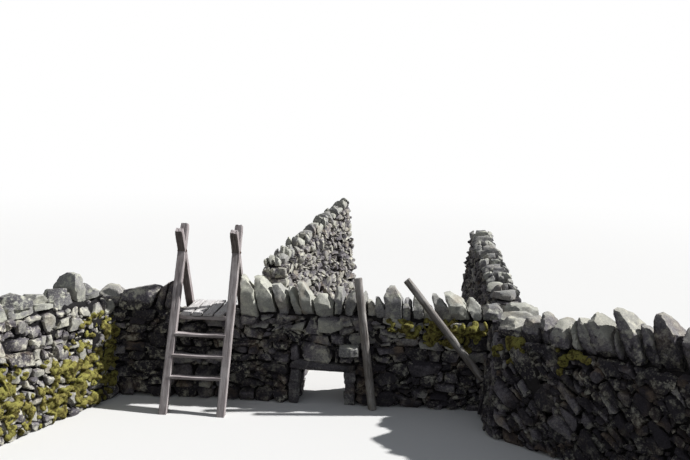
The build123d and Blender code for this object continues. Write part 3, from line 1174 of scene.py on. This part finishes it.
def drawnIn(outline, amount):
    # The outline with its long sides moved in
    low, high = spanOf(outline)
    axis = 0 if high.x - low.x < high.y - low.y else 1
    middle = (low + high) / 2
    share = 1 - 2 * amount / (high[axis] - low[axis])
    moved = [point.copy() for point in outline]
    for point in moved:
        point[axis] = middle[axis] + (point[axis] - middle[axis]) * share
    return moved


def buildWall(key, plan):
    rng = random.Random(plan["seed"])
    rubble = dict(rubblePlan, **plan.get("changes", {}))
    blank = makeBlank(*plan["cuts"], plainBack=True)
    others = [body for other, bodies in allBodies.items() if other != key for body in bodies]
    upright, tops = wallFaces(plan["nodes"])
    longest = max(upright, key=lambda face: np.ptp([point.x for point in face.outline()]))
    own = allBodies[key] if len(plan["nodes"]) > 1 else []
    stones = []
    for face in upright:
        outline = face.outline()
        low, high = spanOf(outline)
        isEnd = abs(face.out.dot(longest.along)) > 0.8
        if isEnd and high.x - low.x < narrowEnd:
            continue
        if isEnd:
            centre = (low.x + high.x) / 2
            share = 1 - 2 * endInset / (high.x - low.x)
            outline = [Vector((centre + (point.x - centre) * share, point.y)) for point in outline]
        holes = holesIn(face) if key == "crossedWall" and not isEnd else []
        turnedAway = face.out.dot(Vector(cameraPlan["place"]) - face.origin) < 0
        sidePlan = dict(rubble, area=rubble["area"] * (rubble["farArea"] if turnedAway else 1))
        stones += layFace(face, outline, sidePlan, rng, blank, holes, others + own)
    topPlan = dict(rubble, **topChanges)
    for face in tops:
        outline = drawnIn(face.outline(), topInset)
        stones += layFace(face, outline, topPlan, rng, blank, [], others + copeBodies)
    mesh = castStones(key + "Stones", stones, castPlan["topPaler"])
    addPiece(key + "Stones", mesh, wallStone, "wall_stone", *plan["nodes"])
    core = lumpCore(key + "Hearting", buildCore(plan["nodes"]))
    addPiece(key + "Hearting", core, hearting, "wall_stone", *plan["nodes"])
    mesh.calc_loop_triangles()
    print(key, "laid:", len(stones), "stones", len(mesh.loop_triangles), "triangles")


for key, plan in wallPlans.items():
    buildWall(key, plan)


# Moss: blobs set on the stones where they lie, fused into one skin and roughened

mossPlan = {
    "count": 400,  # blobs in a square metre where the moss is thickest
    "size": (0.030, 0.085),
    "flat": (0.3, 0.55),
    "voxel": 0.0118,
    "rough": [(0.06, 0.010), (0.018, 0.005)],
    "thinner": 0.45,  # how much smaller the blobs are at the rim of an area
    "patches": 7.0,
    "fuller": 0.55,  # how much an area's amount closes its patches
    "barer": 0.75,  # and how much its rim opens them
    "wide": (0.8, 1.3),
    "lowest": 0.03,
    "lookFrom": 0.15,
    "lookTo": 0.24,
    "brown": (0.20, 0.155, 0.045),
    "green": (0.33, 0.31, 0.075),
    "bright": (0.52, 0.50, 0.16),
    # dark brown for the hollows of the cushions, partly moss colour and partly painted shade
    "hollow": (0.06, 0.046, 0.016),
    "seed": 97,
}


def makeMossMaterial(plan):
    material, tree, shader = newMaterial("mossCushion", {"Roughness": 0.95, "Specular IOR Level": 0.1})
    place = objectPlace(tree)
    reader = addNode(tree, "ShaderNodeAttribute", attribute_name="swell")
    broad = addNoise(tree, place, 9.0, 6.0, 0.7)
    fine = addNoise(tree, place, 170.0, 4.0, 0.8)
    base = mixColours(tree, stepBetween(tree, broad, 0.38, 0.62), plan["brown"], plan["green"])
    base = mixColours(tree, stepBetween(tree, fine, 0.42, 0.72), base, plan["bright"])
    # the hollows of the cushions are darker: brown moss and painted shade
    hollow = stepBetween(tree, reader.outputs["Fac"], 0.62, 0.30)
    base = mixColours(tree, times(tree, hollow, 0.85), base, plan["hollow"])
    feed(tree, base, shader.inputs["Base Color"])
    addBump(tree, fine, 0.01, shader)
    return material


def buildMoss():
    plan = mossPlan
    rng = random.Random(plan["seed"])
    stoneTrees = {}
    for key in wallPlans:
        mesh = bpy.data.objects[key + "Stones"].data
        stoneTrees[key] = BVHTree.FromPolygons(
            [vert.co.copy() for vert in mesh.vertices], [tuple(face.vertices) for face in mesh.polygons]
        )
    faces = [(key, face) for key, wall in wallPlans.items() for face in wallFaces(wall["nodes"])[0]]
    bm = bmesh.new()
    blobs = 0
    for middle, reach, amount in mossSpots:
        key, face = min(faces, key=lambda item: item[1].apart(Vector(middle)))
        for attempt in range(int(plan["count"] * math.pi * reach ** 2 * amount)):
            angle, away = rng.uniform(0, math.tau), reach * math.sqrt(rng.random())
            spot = face.flat(Vector(middle)) + Vector((math.cos(angle), math.sin(angle))) * away
            size = rng.uniform(*plan["size"]) * (1 - plan["thinner"] * away / reach)
            patchy = noise.noise(face.raised(spot) * plan["patches"])
            patchy += plan["fuller"] * amount - plan["barer"] * (away / reach) ** 2
            start = face.raised(spot, plan["lookFrom"])
            place, normal, index, distance = stoneTrees[key].ray_cast(start, -face.out, plan["lookTo"])
            if patchy < 0 or place is None or place.z < plan["lowest"]:
                continue
            turn = (normal * 0.7 + face.out * 0.3).to_track_quat("Z", "Y").to_matrix().to_4x4()
            wide, flat = rng.uniform(*plan["wide"]), rng.uniform(*plan["flat"])
            turn = Matrix.Translation(place) @ turn @ Matrix.Diagonal((size * wide, size, size * flat, 1))
            bmesh.ops.create_icosphere(bm, subdivisions=2, radius=1, matrix=turn)
            blobs += 1
    skin = fused(newMesh("moss", bm), plan["voxel"])
    skin.name = "mossCushions"
    normals = [Vector(normal.vector) for normal in skin.vertex_normals]
    swells = []
    for vert, normal in zip(skin.vertices, normals):
        swell = 0
        for size, height in plan["rough"]:
            lump = noise.noise(vert.co / size)
            swell += lump
            vert.co += normal * height * lump
        swells.append(0.5 + 0.5 * swell)
    points = inBox(np.array([vert.co[:] for vert in skin.vertices]))
    skin.vertices.foreach_set("co", points.astype(np.float32).ravel())
    skin.attributes.new("swell", "FLOAT", "POINT").data.foreach_set("value", swells)
    addPiece("mossCushions", skin, makeMossMaterial(plan), "wall_stone")
    print("moss laid:", blobs, "blobs", len(skin.polygons) * 2, "triangles")


buildMoss()


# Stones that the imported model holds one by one: copes, jambs, lintel and step

solidPlan = {
    "cuts": (10, 10),
    "tilt": 0.07,  # how far the planes of a stone lean from those of its solid
    "rock": 0.14,  # and how far its underside does, across the wall
    "gap": (0.0, 0.012),
    "pull": (0.0, 0.06),
    "pullShare": (0.6, 1.0),
    "skew": 0.2,
    "endDepth": (0.86, 0.97),
    "chips": 9,
    "chipDepth": (0.74, 0.97),
    "chipSpread": 0.03,
    "leastReach": 0.012,
    "fullSize": 0.16,  # thinner stones are broken and roughened less
    "snap": 0.045,
    "rough": [(0.12, 0.010), (0.045, 0.008), (0.018, 0.003)],
    "stones": (1, 1),  # stones across the wall, and one on another
    "fewer": 0,  # how many fewer there may be
    "apart": 0.2,
    "cutLean": 0.12,
    "tallest": 0.5,  # taller solids stay whole
    "paler": -0.08,
    "topPaler": 0.42,
    "lichened": 0.1,
}
smallCopes = {
    "stones": (3, 1),
    "fewer": 2,
    "apart": 0.42,
    "cuts": (5, 5),
    "chips": 6,
    "tilt": 0.13,
    "gap": (0.0, 0.03),
}
solidPlans = {
    "left_return_coping": {
        "stones": (1, 2),
        "tallest": 0.3,
        "tilt": 0.10,
        "rock": 0.05,
        "chips": 12,
        "rough": [(0.08, 0.007), (0.03, 0.006), (0.014, 0.003)],
        "paler": 0.26,
        "topPaler": -0.3,
        "lichened": 0.6,
    },
    # these copes take the darker wall stone, as painted shade
    "left_coping": {"paler": 0.0, "dark": True},
    "middle_coping": {"pull": (0.01, 0.09), "paler": 0.12},
    "right_coping": {"pull": (0.0, 0.08), "paler": -0.14, "topPaler": 0.25},
    # the wing's copes: darker sides as painted shade, much paler tops as painted light
    "right_wing_coping": {"paler": -0.22, "topPaler": 0.9, "gap": (0.0, 0.022), "dark": True},
    "spur_coping": dict(smallCopes, paler=0.25, topPaler=0.1),
    "rear_wall_coping": dict(smallCopes, paler=-0.05, topPaler=0.3),
    "sheep_hole_left_jamb": {"stones": (3, 3), "cuts": (6, 6), "paler": -0.25, "topPaler": 0.1},
    "sheep_hole_right_jamb": {"stones": (3, 3), "cuts": (6, 6), "paler": -0.1, "topPaler": 0.1},
    "sheep_hole_lintel": {
        "pull": (0.0, 0.03),
        "gap": (0.0, 0.008),
        "rock": 0.02,
        # darker, as painted shade over the sheep hole
        "paler": -0.25,
        "topPaler": 0.2,
    },
    "step_stone": {
        "pull": (0.0, 0.03),
        "gap": (0.0, 0.03),
        "rock": 0.05,
        "tilt": 0.09,
        "skew": 0.35,
        "chips": 14,
        # a darker front as painted shade, and a much paler top as painted light
        "paler": -0.35,
        "topPaler": 0.6,
    },
}


def shapeSolid(part, plan, rng, blank, across):
    # A rough stone in the room of one solid. Its ends across the wall are broken back by different amounts
    corners = cornersOf(part)
    low, high = corners.min(axis=0), corners.max(axis=0)
    middle = corners.mean(axis=0)
    size = min(1.0, float(min(high - low)) / plan["fullSize"])
    normals, offsets = planesOf(part)
    reaches = offsets - normals @ middle
    pulls = {-1: rng.uniform(*plan["pull"]), 1: rng.uniform(*plan["pull"])}
    for index, normal in enumerate(normals):
        toward = float(normal @ across)
        if abs(toward) > 0.5:
            reaches[index] -= size * pulls[1 if toward > 0 else -1] * rng.uniform(*plan["pullShare"])
        elif abs(normal[2]) < 0.7:
            reaches[index] -= size * rng.uniform(*plan["gap"])
    leans = np.array([[rng.gauss(0, plan["tilt"]) for axis in range(3)] for normal in normals])
    leans[normals[:, 2] < -0.9] += across * rng.gauss(0, plan["rock"])
    normals = normals + leans
    for end in (-1, 1):
        aim = end * across + np.array([rng.gauss(0, plan["skew"]) for axis in range(3)])
        normals = np.vstack([normals, aim])
        furthest = abs((corners - middle) @ aim).max() / np.linalg.norm(aim)
        reaches = np.append(reaches, furthest * rng.uniform(*plan["endDepth"]) - size * pulls[end])
    for chip in range(plan["chips"]):
        corner = corners[rng.randrange(len(corners))] - middle
        aim = corner + np.array([rng.gauss(0, plan["chipSpread"]) for axis in range(3)])
        normals = np.vstack([normals, aim])
        reaches = np.append(reaches, corner @ aim / np.linalg.norm(aim) * rng.uniform(*plan["chipDepth"]))
    normals = normals / np.linalg.norm(normals, axis=1)[:, None]
    reaches = np.maximum(reaches, plan["leastReach"])
    snap = plan["snap"] * float(np.mean(high - low))
    points = pressStone(blank[1], (high - low) / 2, normals, reaches, snap)
    layers = [(layer, height * size) for layer, height in plan["rough"]]
    return roughen(calmed(points, blank[2]), rng.uniform(*noiseShift), layers) + middle


def cutsAcross(part, plan, rng, across):
    # Planes that part a solid into stones across the wall, and one on another
    corners = cornersOf(part)
    middle = corners.mean(axis=0)
    cuts = []
    if np.ptp(corners[:, 2]) > plan["tallest"]:
        return cuts
    for count, axis in zip(plan["stones"], (across, np.array([0.0, 0.0, 1.0]))):
        heights = corners @ axis
        count -= rng.randint(0, plan["fewer"])
        for number in range(1, count):
            share = (number + rng.uniform(-plan["apart"], plan["apart"])) / count
            spot = middle + axis * (heights.min() + share * np.ptp(heights) - middle @ axis)
            lean = Vector([rng.gauss(0, plan["cutLean"]) for value in axis])
            cuts.append((Vector(spot), (Vector(axis) + lean).normalized()))
    return cuts


def buildSolids(node, material, slot):
    plan = dict(solidPlan, **solidPlans.get(node, {}))
    rng = random.Random(71 + len(node) * 7)
    blank = makeBlank(*plan["cuts"])
    bm = mergedCopy(node)
    stones = []
    across = np.array([0.0, 1.0, 0.0])
    if node.endswith("_coping"):
        corners = np.array([vert.co[:2] for vert in bm.verts])
        along = np.linalg.svd(corners - corners.mean(axis=0), full_matrices=False)[2][0]
        across = np.array([-along[1], along[0], 0.0])
    for part in looseParts(bm):
        for piece in splitSolid(bm, part, cutsAcross(part, plan, rng, across)):
            points = shapeSolid(piece.faces[:], plan, rng, blank, across)
            facts = stoneFacts(Vector(points.mean(axis=0)), rng, plan["paler"], plan["lichened"])
            stones.append({"blank": blank, "points": points, "facts": facts, "sunk": np.zeros(len(points))})
            piece.free()
    bm.free()
    name = camelName(node) + "Stones"
    mesh = castStones(name, stones, plan["topPaler"])
    # copes that are flagged take the darker wall stone, as painted shade
    addPiece(name, mesh, wallStone if plan.get("dark") else material, slot, node)


for node in copeNodes:
    buildSolids(node, copingStone, "coping_stone")
for node in holeNodes:
    buildSolids(node, copingStone if node == "step_stone" else dressedStone, "dressed_stone")
print("copes and dressed stones shaped")


# Sawn timber: a box with eased arrises, cut along its length, then warped, worn and checked

def gridBar(size, easing, alongCuts, acrossCuts):
    bm = bmesh.new()
    bmesh.ops.create_cube(bm, size=1)
    bmesh.ops.scale(bm, vec=size, verts=bm.verts[:])
    bmesh.ops.bevel(
        bm, geom=edgesAlong(bm, 2, 0.9 * size[2]), offset=easing, segments=2, affect="EDGES", profile=0.5,
        material=-1,
    )
    for axis, cuts, share in ((2, alongCuts, 0.5), (0, acrossCuts, 0.6), (1, acrossCuts, 0.6)):
        run = edgesAlong(bm, axis, share * size[axis])
        bmesh.ops.subdivide_edges(bm, edges=run, cuts=cuts, use_grid_fill=True)
    for face in bm.faces:
        face.smooth = True
    return bm


def openCheck(bm, axis, side, line, low, high, depth, width=0.0022):
    # A crack along the grain: the nearest row of points sinks in, and its neighbours close up beside it
    cross = 1 - axis
    rows = sorted({round(vert.co[cross], 5) for vert in bm.verts if vert.co[axis] * side > 0})
    index = min(range(len(rows)), key=lambda spot: abs(rows[spot] - line))
    for vert in bm.verts:
        if vert.co[axis] * side <= 0 or not low < vert.co.z < high:
            continue
        taper = math.sin(math.pi * (vert.co.z - low) / (high - low)) ** 0.5
        row = round(vert.co[cross], 5)
        if abs(row - rows[index]) < 1e-4:
            vert.co[axis] -= side * depth * taper
        elif index > 0 and abs(row - rows[index - 1]) < 1e-4:
            vert.co[cross] += (rows[index] - width * taper - row) * min(1.0, taper * 3)
        elif index + 1 < len(rows) and abs(row - rows[index + 1]) < 1e-4:
            vert.co[cross] += (rows[index] + width * taper - row) * min(1.0, taper * 3)


agePlan = {
    "warp": 1.3,  # waves in a metre
    "dent": (14, 14, 7),
    "grain": (60, 60, 3),
    "grainShare": 0.5,
}


def ageBar(bm, seed, bow, dents):
    # Slow warp along the length and small dents across it
    shift = Vector((seed,) * 3)
    for vert in bm.verts:
        drift = noise.noise_vector(Vector((seed, seed * 2, vert.co.z * agePlan["warp"])))
        dent = noise.noise_vector(vert.co * Vector(agePlan["dent"]) + shift)
        grain = noise.noise_vector(vert.co * Vector(agePlan["grain"]) + shift) * agePlan["grainShare"]
        vert.co.x += drift.x * bow + (dent.x + grain.x) * dents
        vert.co.y += drift.y * bow + (dent.y + grain.y) * dents
        vert.co.z += dent.z * dents * agePlan["grainShare"]


timberSharp = 30  # degrees from which an arris is shaded sharp
underfoot = 0.001  # timber that stands on the ground is cut off level here


def finishTimber(name, bm, place, material, slot, node, seed, floor=None):
    # Keeps each point's place in the timber for the grain, then sets the timber where it belongs
    grain = bm.verts.layers.float_vector.new("grainPlace")
    for vert in bm.verts:
        vert[grain] = vert.co + Vector((seed, seed * 0.7, seed * 3))
    bmesh.ops.transform(bm, matrix=place, verts=bm.verts[:])
    for edge in bm.edges:
        edge.smooth = edge.calc_face_angle(0) < math.radians(timberSharp)
    if floor is not None:
        cutOff(bm, (0, 0, floor), (0, 0, -1))
    addPiece(name, newMesh(name, bm), material, slot, node)


ladderPlan = {
    "lean": 26.4,
    "crossing": 1.75,
    "depth": 0.084,
    "halving": 0.0012,  # how far a stringer stands proud on the side where it runs through the joint
    "easing": 0.0045,
    "bow": 0.0018,
    "dents": 0.0011,
    "slimmer": (0.004, 0.003),  # how much the warped bar is kept inside its solid
    "cracks": 5,
    "crackLine": (-0.025, 0.025),
    "crackStart": (-0.45, 0.3),
    "crackLength": (0.25, 0.7),
    "crackDepth": (0.005, 0.012),
    "splitLine": (-0.02, 0.02),
    "split": (0.32, 0.515),  # reach of the split at the top, as shares of the length from the middle
    "splitSize": (0.014, 0.003),
    "wornTop": 0.05,
    "worn": (0.10, 0.08),
    "frayed": 0.016,
    "fray": 30,
    "cuts": (90, 6),
}


def buildStringer(node, front, hand, seed):
    plan = ladderPlan
    low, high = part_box(node)
    lean = math.radians(plan["lean"]) * (-1 if front else 1)
    middleX = (low.x + high.x) / 2
    width = high.x - low.x - plan["slimmer"][0]
    above = (high.z - plan["crossing"] - plan["depth"] / 2 * math.sin(abs(lean))) / math.cos(lean)
    below = plan["crossing"] / math.cos(lean) + plan["depth"]
    length = above + below
    bm = gridBar((width, plan["depth"] - plan["slimmer"][1], length), plan["easing"], *plan["cuts"])
    rng = random.Random(seed)
    for crack in range(plan["cracks"]):
        axis, side = rng.choice(((0, -1), (0, 1), (1, -1), (1, 1)))
        start = rng.uniform(*plan["crackStart"]) * length
        line, end = rng.uniform(*plan["crackLine"]), start + rng.uniform(*plan["crackLength"])
        openCheck(bm, axis, side, line, start, end, rng.uniform(*plan["crackDepth"]))
    line, outer = rng.uniform(*plan["splitLine"]), -1 if front else 1
    start, end = [length * share for share in plan["split"]]
    openCheck(bm, 1, outer, line, start, end, *plan["splitSize"])
    ageBar(bm, seed, plan["bow"], plan["dents"])
    for vert in bm.verts:
        if vert.co.z > length / 2 - plan["wornTop"]:  # worn, split top
            top = (vert.co.z - length / 2) / plan["wornTop"] + 1
            vert.co.x *= 1 - plan["worn"][0] * top
            vert.co.y *= 1 - plan["worn"][1] * top
            spot = Vector((vert.co.x * plan["fray"], vert.co.y * plan["fray"], seed))
            vert.co.z -= plan["frayed"] * top * abs(noise.noise(spot))
    shift = hand * plan["halving"] * (1 if front else -1)
    place = Matrix.Translation((middleX + shift, 0, plan["crossing"]))
    place = place @ Matrix.Rotation(lean, 4, "X") @ Matrix.Translation((0, 0, (above - below) / 2))
    finishTimber(camelName(node), bm, place, weatheredTimber, "weathered_timber", node, seed, underfoot)


for index, (face, hand) in enumerate((("front", -1), ("front", 1), ("rear", -1), ("rear", 1))):
    sideName = "left" if hand < 0 else "right"
    buildStringer(f"{face}_stringer_{sideName}", face == "front", hand, 5.3 + index * 2.1)


rungPlan = {
    "slimmer": 0.002,
    "wear": 0.007,
    "worn": 0.33,
    "easing": 0.006,
    "dents": 0.0012,
    "cuts": (26, 5),
}


def buildRung(node, seed):
    low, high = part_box(node)
    size = high - low
    room = [size[axis] - rungPlan["slimmer"] for axis in (2, 1, 0)]
    bm = gridBar(room, rungPlan["easing"], *rungPlan["cuts"])
    ageBar(bm, seed, 0.0, rungPlan["dents"])
    for vert in bm.verts:  # feet wear the middle of the upper face
        if vert.co.x > 0:
            vert.co.x -= rungPlan["wear"] * max(0.0, 1 - (vert.co.z / (rungPlan["worn"] * size.x)) ** 2)
    turn = Matrix(((0, 0, -1, 0), (0, 1, 0, 0), (1, 0, 0, 0), (0, 0, 0, 1)))
    place = Matrix.Translation((low + high) / 2) @ turn
    name = camelName(node.replace("platform", "rung"))
    finishTimber(name, bm, place, weatheredTimber, "weathered_timber", node, seed)


rungNodes = [node for node in sorted(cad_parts) if "_rung_" in node or node.endswith("_bearer")]
for index, node in enumerate(rungNodes):
    buildRung(node, 21.7 + index * 1.9)


slatPlan = {
    "slimmer": (0.002, 0.0015, 0.004),
    "wear": 0.004,
    "worn": 0.4,
    "easing": 0.006,
    "dents": 0.0012,
    "cracks": 3,
    "crackLine": (-0.045, 0.045),
    "crackStart": (-0.5, 0.12),
    "crackPast": 0.02,
    "crackLength": (0.15, 0.4),
    "crackSize": (0.007, 0.0016),
    "cuts": (34, 8),
}


def buildSlat(node, seed):
    plan = slatPlan
    low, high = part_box(node)
    size = high - low
    rng = random.Random(seed)
    room = [length - slimmer for length, slimmer in zip((size.x, size.z, size.y), plan["slimmer"])]
    bm = gridBar(room, plan["easing"], *plan["cuts"])
    for crack in range(plan["cracks"]):
        start = rng.choice(plan["crackStart"]) * size.y
        line, end = rng.uniform(*plan["crackLine"]), start + rng.uniform(*plan["crackLength"])
        openCheck(bm, 1, 1, line, start - plan["crackPast"], end, *plan["crackSize"])
    ageBar(bm, seed, 0.0, plan["dents"])
    for vert in bm.verts:
        if vert.co.y > 0:
            vert.co.y -= plan["wear"] * max(0.0, 1 - (vert.co.z / (plan["worn"] * size.y)) ** 2)
    place = Matrix.Translation((low + high) / 2)
    turn = Matrix(((-1, 0, 0, 0), (0, 0, 1, 0), (0, 1, 0, 0), (0, 0, 0, 1)))
    finishTimber(camelName(node), bm, place @ turn, paleSlat, "pale_slat", node, seed)


for index, node in enumerate([node for node in sorted(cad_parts) if node.startswith("platform_slat")]):
    buildSlat(node, 47.1 + index * 2.3)
print("ladder and platform built")


# Round stake and pole

def addDisc(bm, sides, radius, topShare, height, place):
    # A round bar or disc whose top is a share of its foot's width
    ends = {"radius1": radius, "radius2": radius * topShare}
    bmesh.ops.create_cone(bm, cap_ends=True, segments=sides, depth=height, matrix=place, **ends)


polePlan = {
    "sides": 20,
    "rings": 60,
    "shorter": 0.004,
    "foot": 0.99,  # shares of the solid's radius
    "top": 0.97,
    "sawnEnd": (0.12, 0.004),
    "knots": 5,
    "knotPlaces": (-0.45, 0.45),
    "knotLength": 0.035,
    "knotNarrow": 2.2,
    "knotSwell": 0.09,
    "crack": 0.16,
    "rough": 0.0035,
}
poleSeeds = {"upright_stake": 61.3, "leaning_pole": 67.9}


def buildPole(node, seed):
    plan = polePlan
    points = np.array([vert.co[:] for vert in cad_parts[node].data.vertices])
    spread = points - points.mean(axis=0)
    run = np.linalg.svd(spread, full_matrices=False)[2][0]
    axis = Vector(run if run[2] > 0 else -run)
    along = spread @ np.array(axis)
    radius = np.percentile(np.linalg.norm(spread - np.outer(along, axis), axis=1), 80)
    middle = Vector(points.mean(axis=0)) + axis * (along.max() + along.min()) / 2
    length = along.max() - along.min() - plan["shorter"]
    bm = bmesh.new()
    addDisc(bm, plan["sides"], radius * plan["foot"], plan["top"] / plan["foot"], length, Matrix())
    caps = [face for face in bm.faces if len(face.verts) > 4]
    inset, sunk = plan["sawnEnd"]
    bmesh.ops.inset_region(bm, faces=caps, thickness=radius * inset, depth=sunk)
    ups = edgesAlong(bm, 2, length / 2)
    bmesh.ops.subdivide_edges(bm, edges=ups, cuts=plan["rings"], use_grid_fill=True)
    rng = random.Random(seed)
    knots = []
    for knot in range(plan["knots"]):
        knots.append((rng.uniform(*plan["knotPlaces"]) * length, rng.uniform(0, math.tau)))
    for vert in bm.verts:
        turn = math.atan2(vert.co.y, vert.co.x)
        lump = noise.noise(Vector((vert.co.x * 9, vert.co.y * 9, vert.co.z * 4 + seed)))
        ridge = noise.noise(Vector((math.cos(turn) * 3, math.sin(turn) * 3, vert.co.z * 0.9 + seed)))
        swell = 1 + plan["rough"] * (lump + ridge) / radius
        for height, aim in knots:
            around = (1 - math.cos(turn - aim)) * plan["knotNarrow"]
            apart = math.hypot((vert.co.z - height) / plan["knotLength"], around)
            swell += plan["knotSwell"] * max(0.0, 1 - apart)
        crack = abs(((turn - 0.9 * math.sin(vert.co.z * 1.7 + seed) + math.pi) % math.tau) - math.pi)
        if crack < math.pi / plan["sides"]:
            swell -= plan["crack"] * max(0.0, math.sin(vert.co.z * 2.4 + seed))
        vert.co.x *= swell
        vert.co.y *= swell
    for face in bm.faces:
        face.smooth = True
    place = Matrix.Translation(middle) @ axis.to_track_quat("Z", "Y").to_matrix().to_4x4()
    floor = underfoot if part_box(node)[0].z < 0.01 else None
    finishTimber(camelName(node), bm, place, oldPole, "old_pole", node, seed * 0.1, floor)


for node, seed in poleSeeds.items():
    buildPole(node, seed)


# Bolts through the halved joints and nails in the slats

fixingPlan = {
    "washer": (20, 0.021, 0.97, 0.003),  # sides, radius, share of it at the top, height
    "bolt": (6, 0.011, 0.94, 0.010),
    "nail": (10, 0.0042, 0.8, 0.004),
    "bed": 0.001,
    "boltRise": 0.005,
    "nailShares": (0.25, 0.75),  # of a slat's width
    "nailSkew": 0.02,
}


def buildFixings():
    plan = fixingPlan
    bm = bmesh.new()
    for node in ("front_stringer_left", "front_stringer_right"):
        low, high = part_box(node)
        for side, x in ((-1, low.x), (1, high.x)):
            spot = Vector((x + side * plan["bed"], 0, ladderPlan["crossing"]))
            turn = Matrix.Translation(spot) @ Matrix.Rotation(math.radians(90) * side, 4, "Y")
            addDisc(bm, *plan["washer"], turn)
            addDisc(bm, *plan["bolt"], turn @ Matrix.Translation((0, 0, plan["boltRise"])))
    for number in range(1, 5):
        low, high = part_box(f"platform_slat_{number}")
        for bearer in ("front_platform_bearer", "rear_platform_bearer"):
            bearerLow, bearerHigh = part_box(bearer)
            y = (bearerLow.y + bearerHigh.y) / 2
            for share in plan["nailShares"]:
                x, z = low.x + (high.x - low.x) * share, high.z - plan["nail"][3]
                spot = Vector((x, y + (share - 0.5) * plan["nailSkew"], z))
                addDisc(bm, *plan["nail"], Matrix.Translation(spot))
    addPiece("boltsAndNails", newMesh("boltsAndNails", bm), rustyIron, "weathered_timber")


buildFixings()
print("poles and fixings built")


# Floor, world and lamps

stagePlan = {
    "reach": 60.0,
    "floorColour": (0.80, 0.79, 0.77),
    "bounceColour": (0.17, 0.17, 0.16),  # what the floor throws back at the walls
    "fadeFrom": 9.0,
    "fadeTo": 26.0,
}
lampPlan = {
    "sun": {"energy": 4.8, "angle": 1.5, "aim": (-0.727, -0.22, -0.65)},
    "fill": {"energy": 36.0, "size": 9.0, "place": (-3.0, -11.0, 7.0), "target": (1.0, 0.0, 0.8)},
    "world": 0.2,
    "sky": (0.82, 0.89, 1.0),
}


def buildFloor():
    bm = bmesh.new()
    bmesh.ops.create_grid(bm, x_segments=1, y_segments=1, size=stagePlan["reach"])
    floor = linkObject("floor", newMesh("floor", bm))
    material, tree, shader = newMaterial("floorPaint", {"Roughness": 0.9, "Specular IOR Level": 0.1})
    path = addNode(tree, "ShaderNodeLightPath")
    seen = path.outputs["Is Camera Ray"]
    paint = mixColours(tree, seen, stagePlan["bounceColour"], stagePlan["floorColour"])
    feed(tree, paint, shader.inputs["Base Color"])
    away = addNode(tree, "ShaderNodeVectorMath", operation="LENGTH")
    feed(tree, objectPlace(tree), away.inputs[0])
    fade = stepBetween(tree, away.outputs["Value"], stagePlan["fadeFrom"], stagePlan["fadeTo"])
    clear = addNode(tree, "ShaderNodeEmission")
    feed(tree, (1.0, 1.0, 1.0), clear.inputs["Color"])
    mix = addNode(tree, "ShaderNodeMixShader")
    clearer = times(tree, fade, seen)
    for value, socket in zip((clearer, shader.outputs["BSDF"], clear.outputs["Emission"]), mix.inputs):
        feed(tree, value, socket)
    feed(tree, mix.outputs["Shader"], tree.nodes["Material Output"].inputs["Surface"])
    floor.data.materials.append(material)


def buildWorld():
    world = bpy.data.worlds.new("studio")
    bpy.context.scene.world = world
    world.use_nodes = True
    tree = world.node_tree
    background = tree.nodes["Background"]
    path = addNode(tree, "ShaderNodeLightPath")
    seen = doMaths(tree, "MAXIMUM", path.outputs["Is Camera Ray"], path.outputs["Is Glossy Ray"])
    seen = doMaths(tree, "MAXIMUM", seen, path.outputs["Is Transmission Ray"])
    strength = doMaths(tree, "MULTIPLY_ADD", seen, 1 - lampPlan["world"], lampPlan["world"])
    feed(tree, strength, background.inputs["Strength"])
    feed(tree, mixColours(tree, seen, lampPlan["sky"], (1.0, 1.0, 1.0)), background.inputs["Color"])


def addLamp(name, kind, energy, aim, place=(0, 0, 0)):
    lamp = linkObject(name, bpy.data.lights.new(name, kind))
    lamp.data.energy = energy
    lamp.location = place
    lamp.rotation_mode = "QUATERNION"
    lamp.rotation_quaternion = Vector(aim).to_track_quat("-Z", "Y")
    return lamp.data


buildFloor()
buildWorld()
sun, fill = lampPlan["sun"], lampPlan["fill"]
addLamp("sun", "SUN", sun["energy"], sun["aim"]).angle = math.radians(sun["angle"])
fillAim = Vector(fill["target"]) - Vector(fill["place"])
addLamp("fill", "AREA", fill["energy"], fillAim, fill["place"]).size = fill["size"]
bpy.context.scene.view_settings.view_transform = "Standard"
print("stage and lamps set")
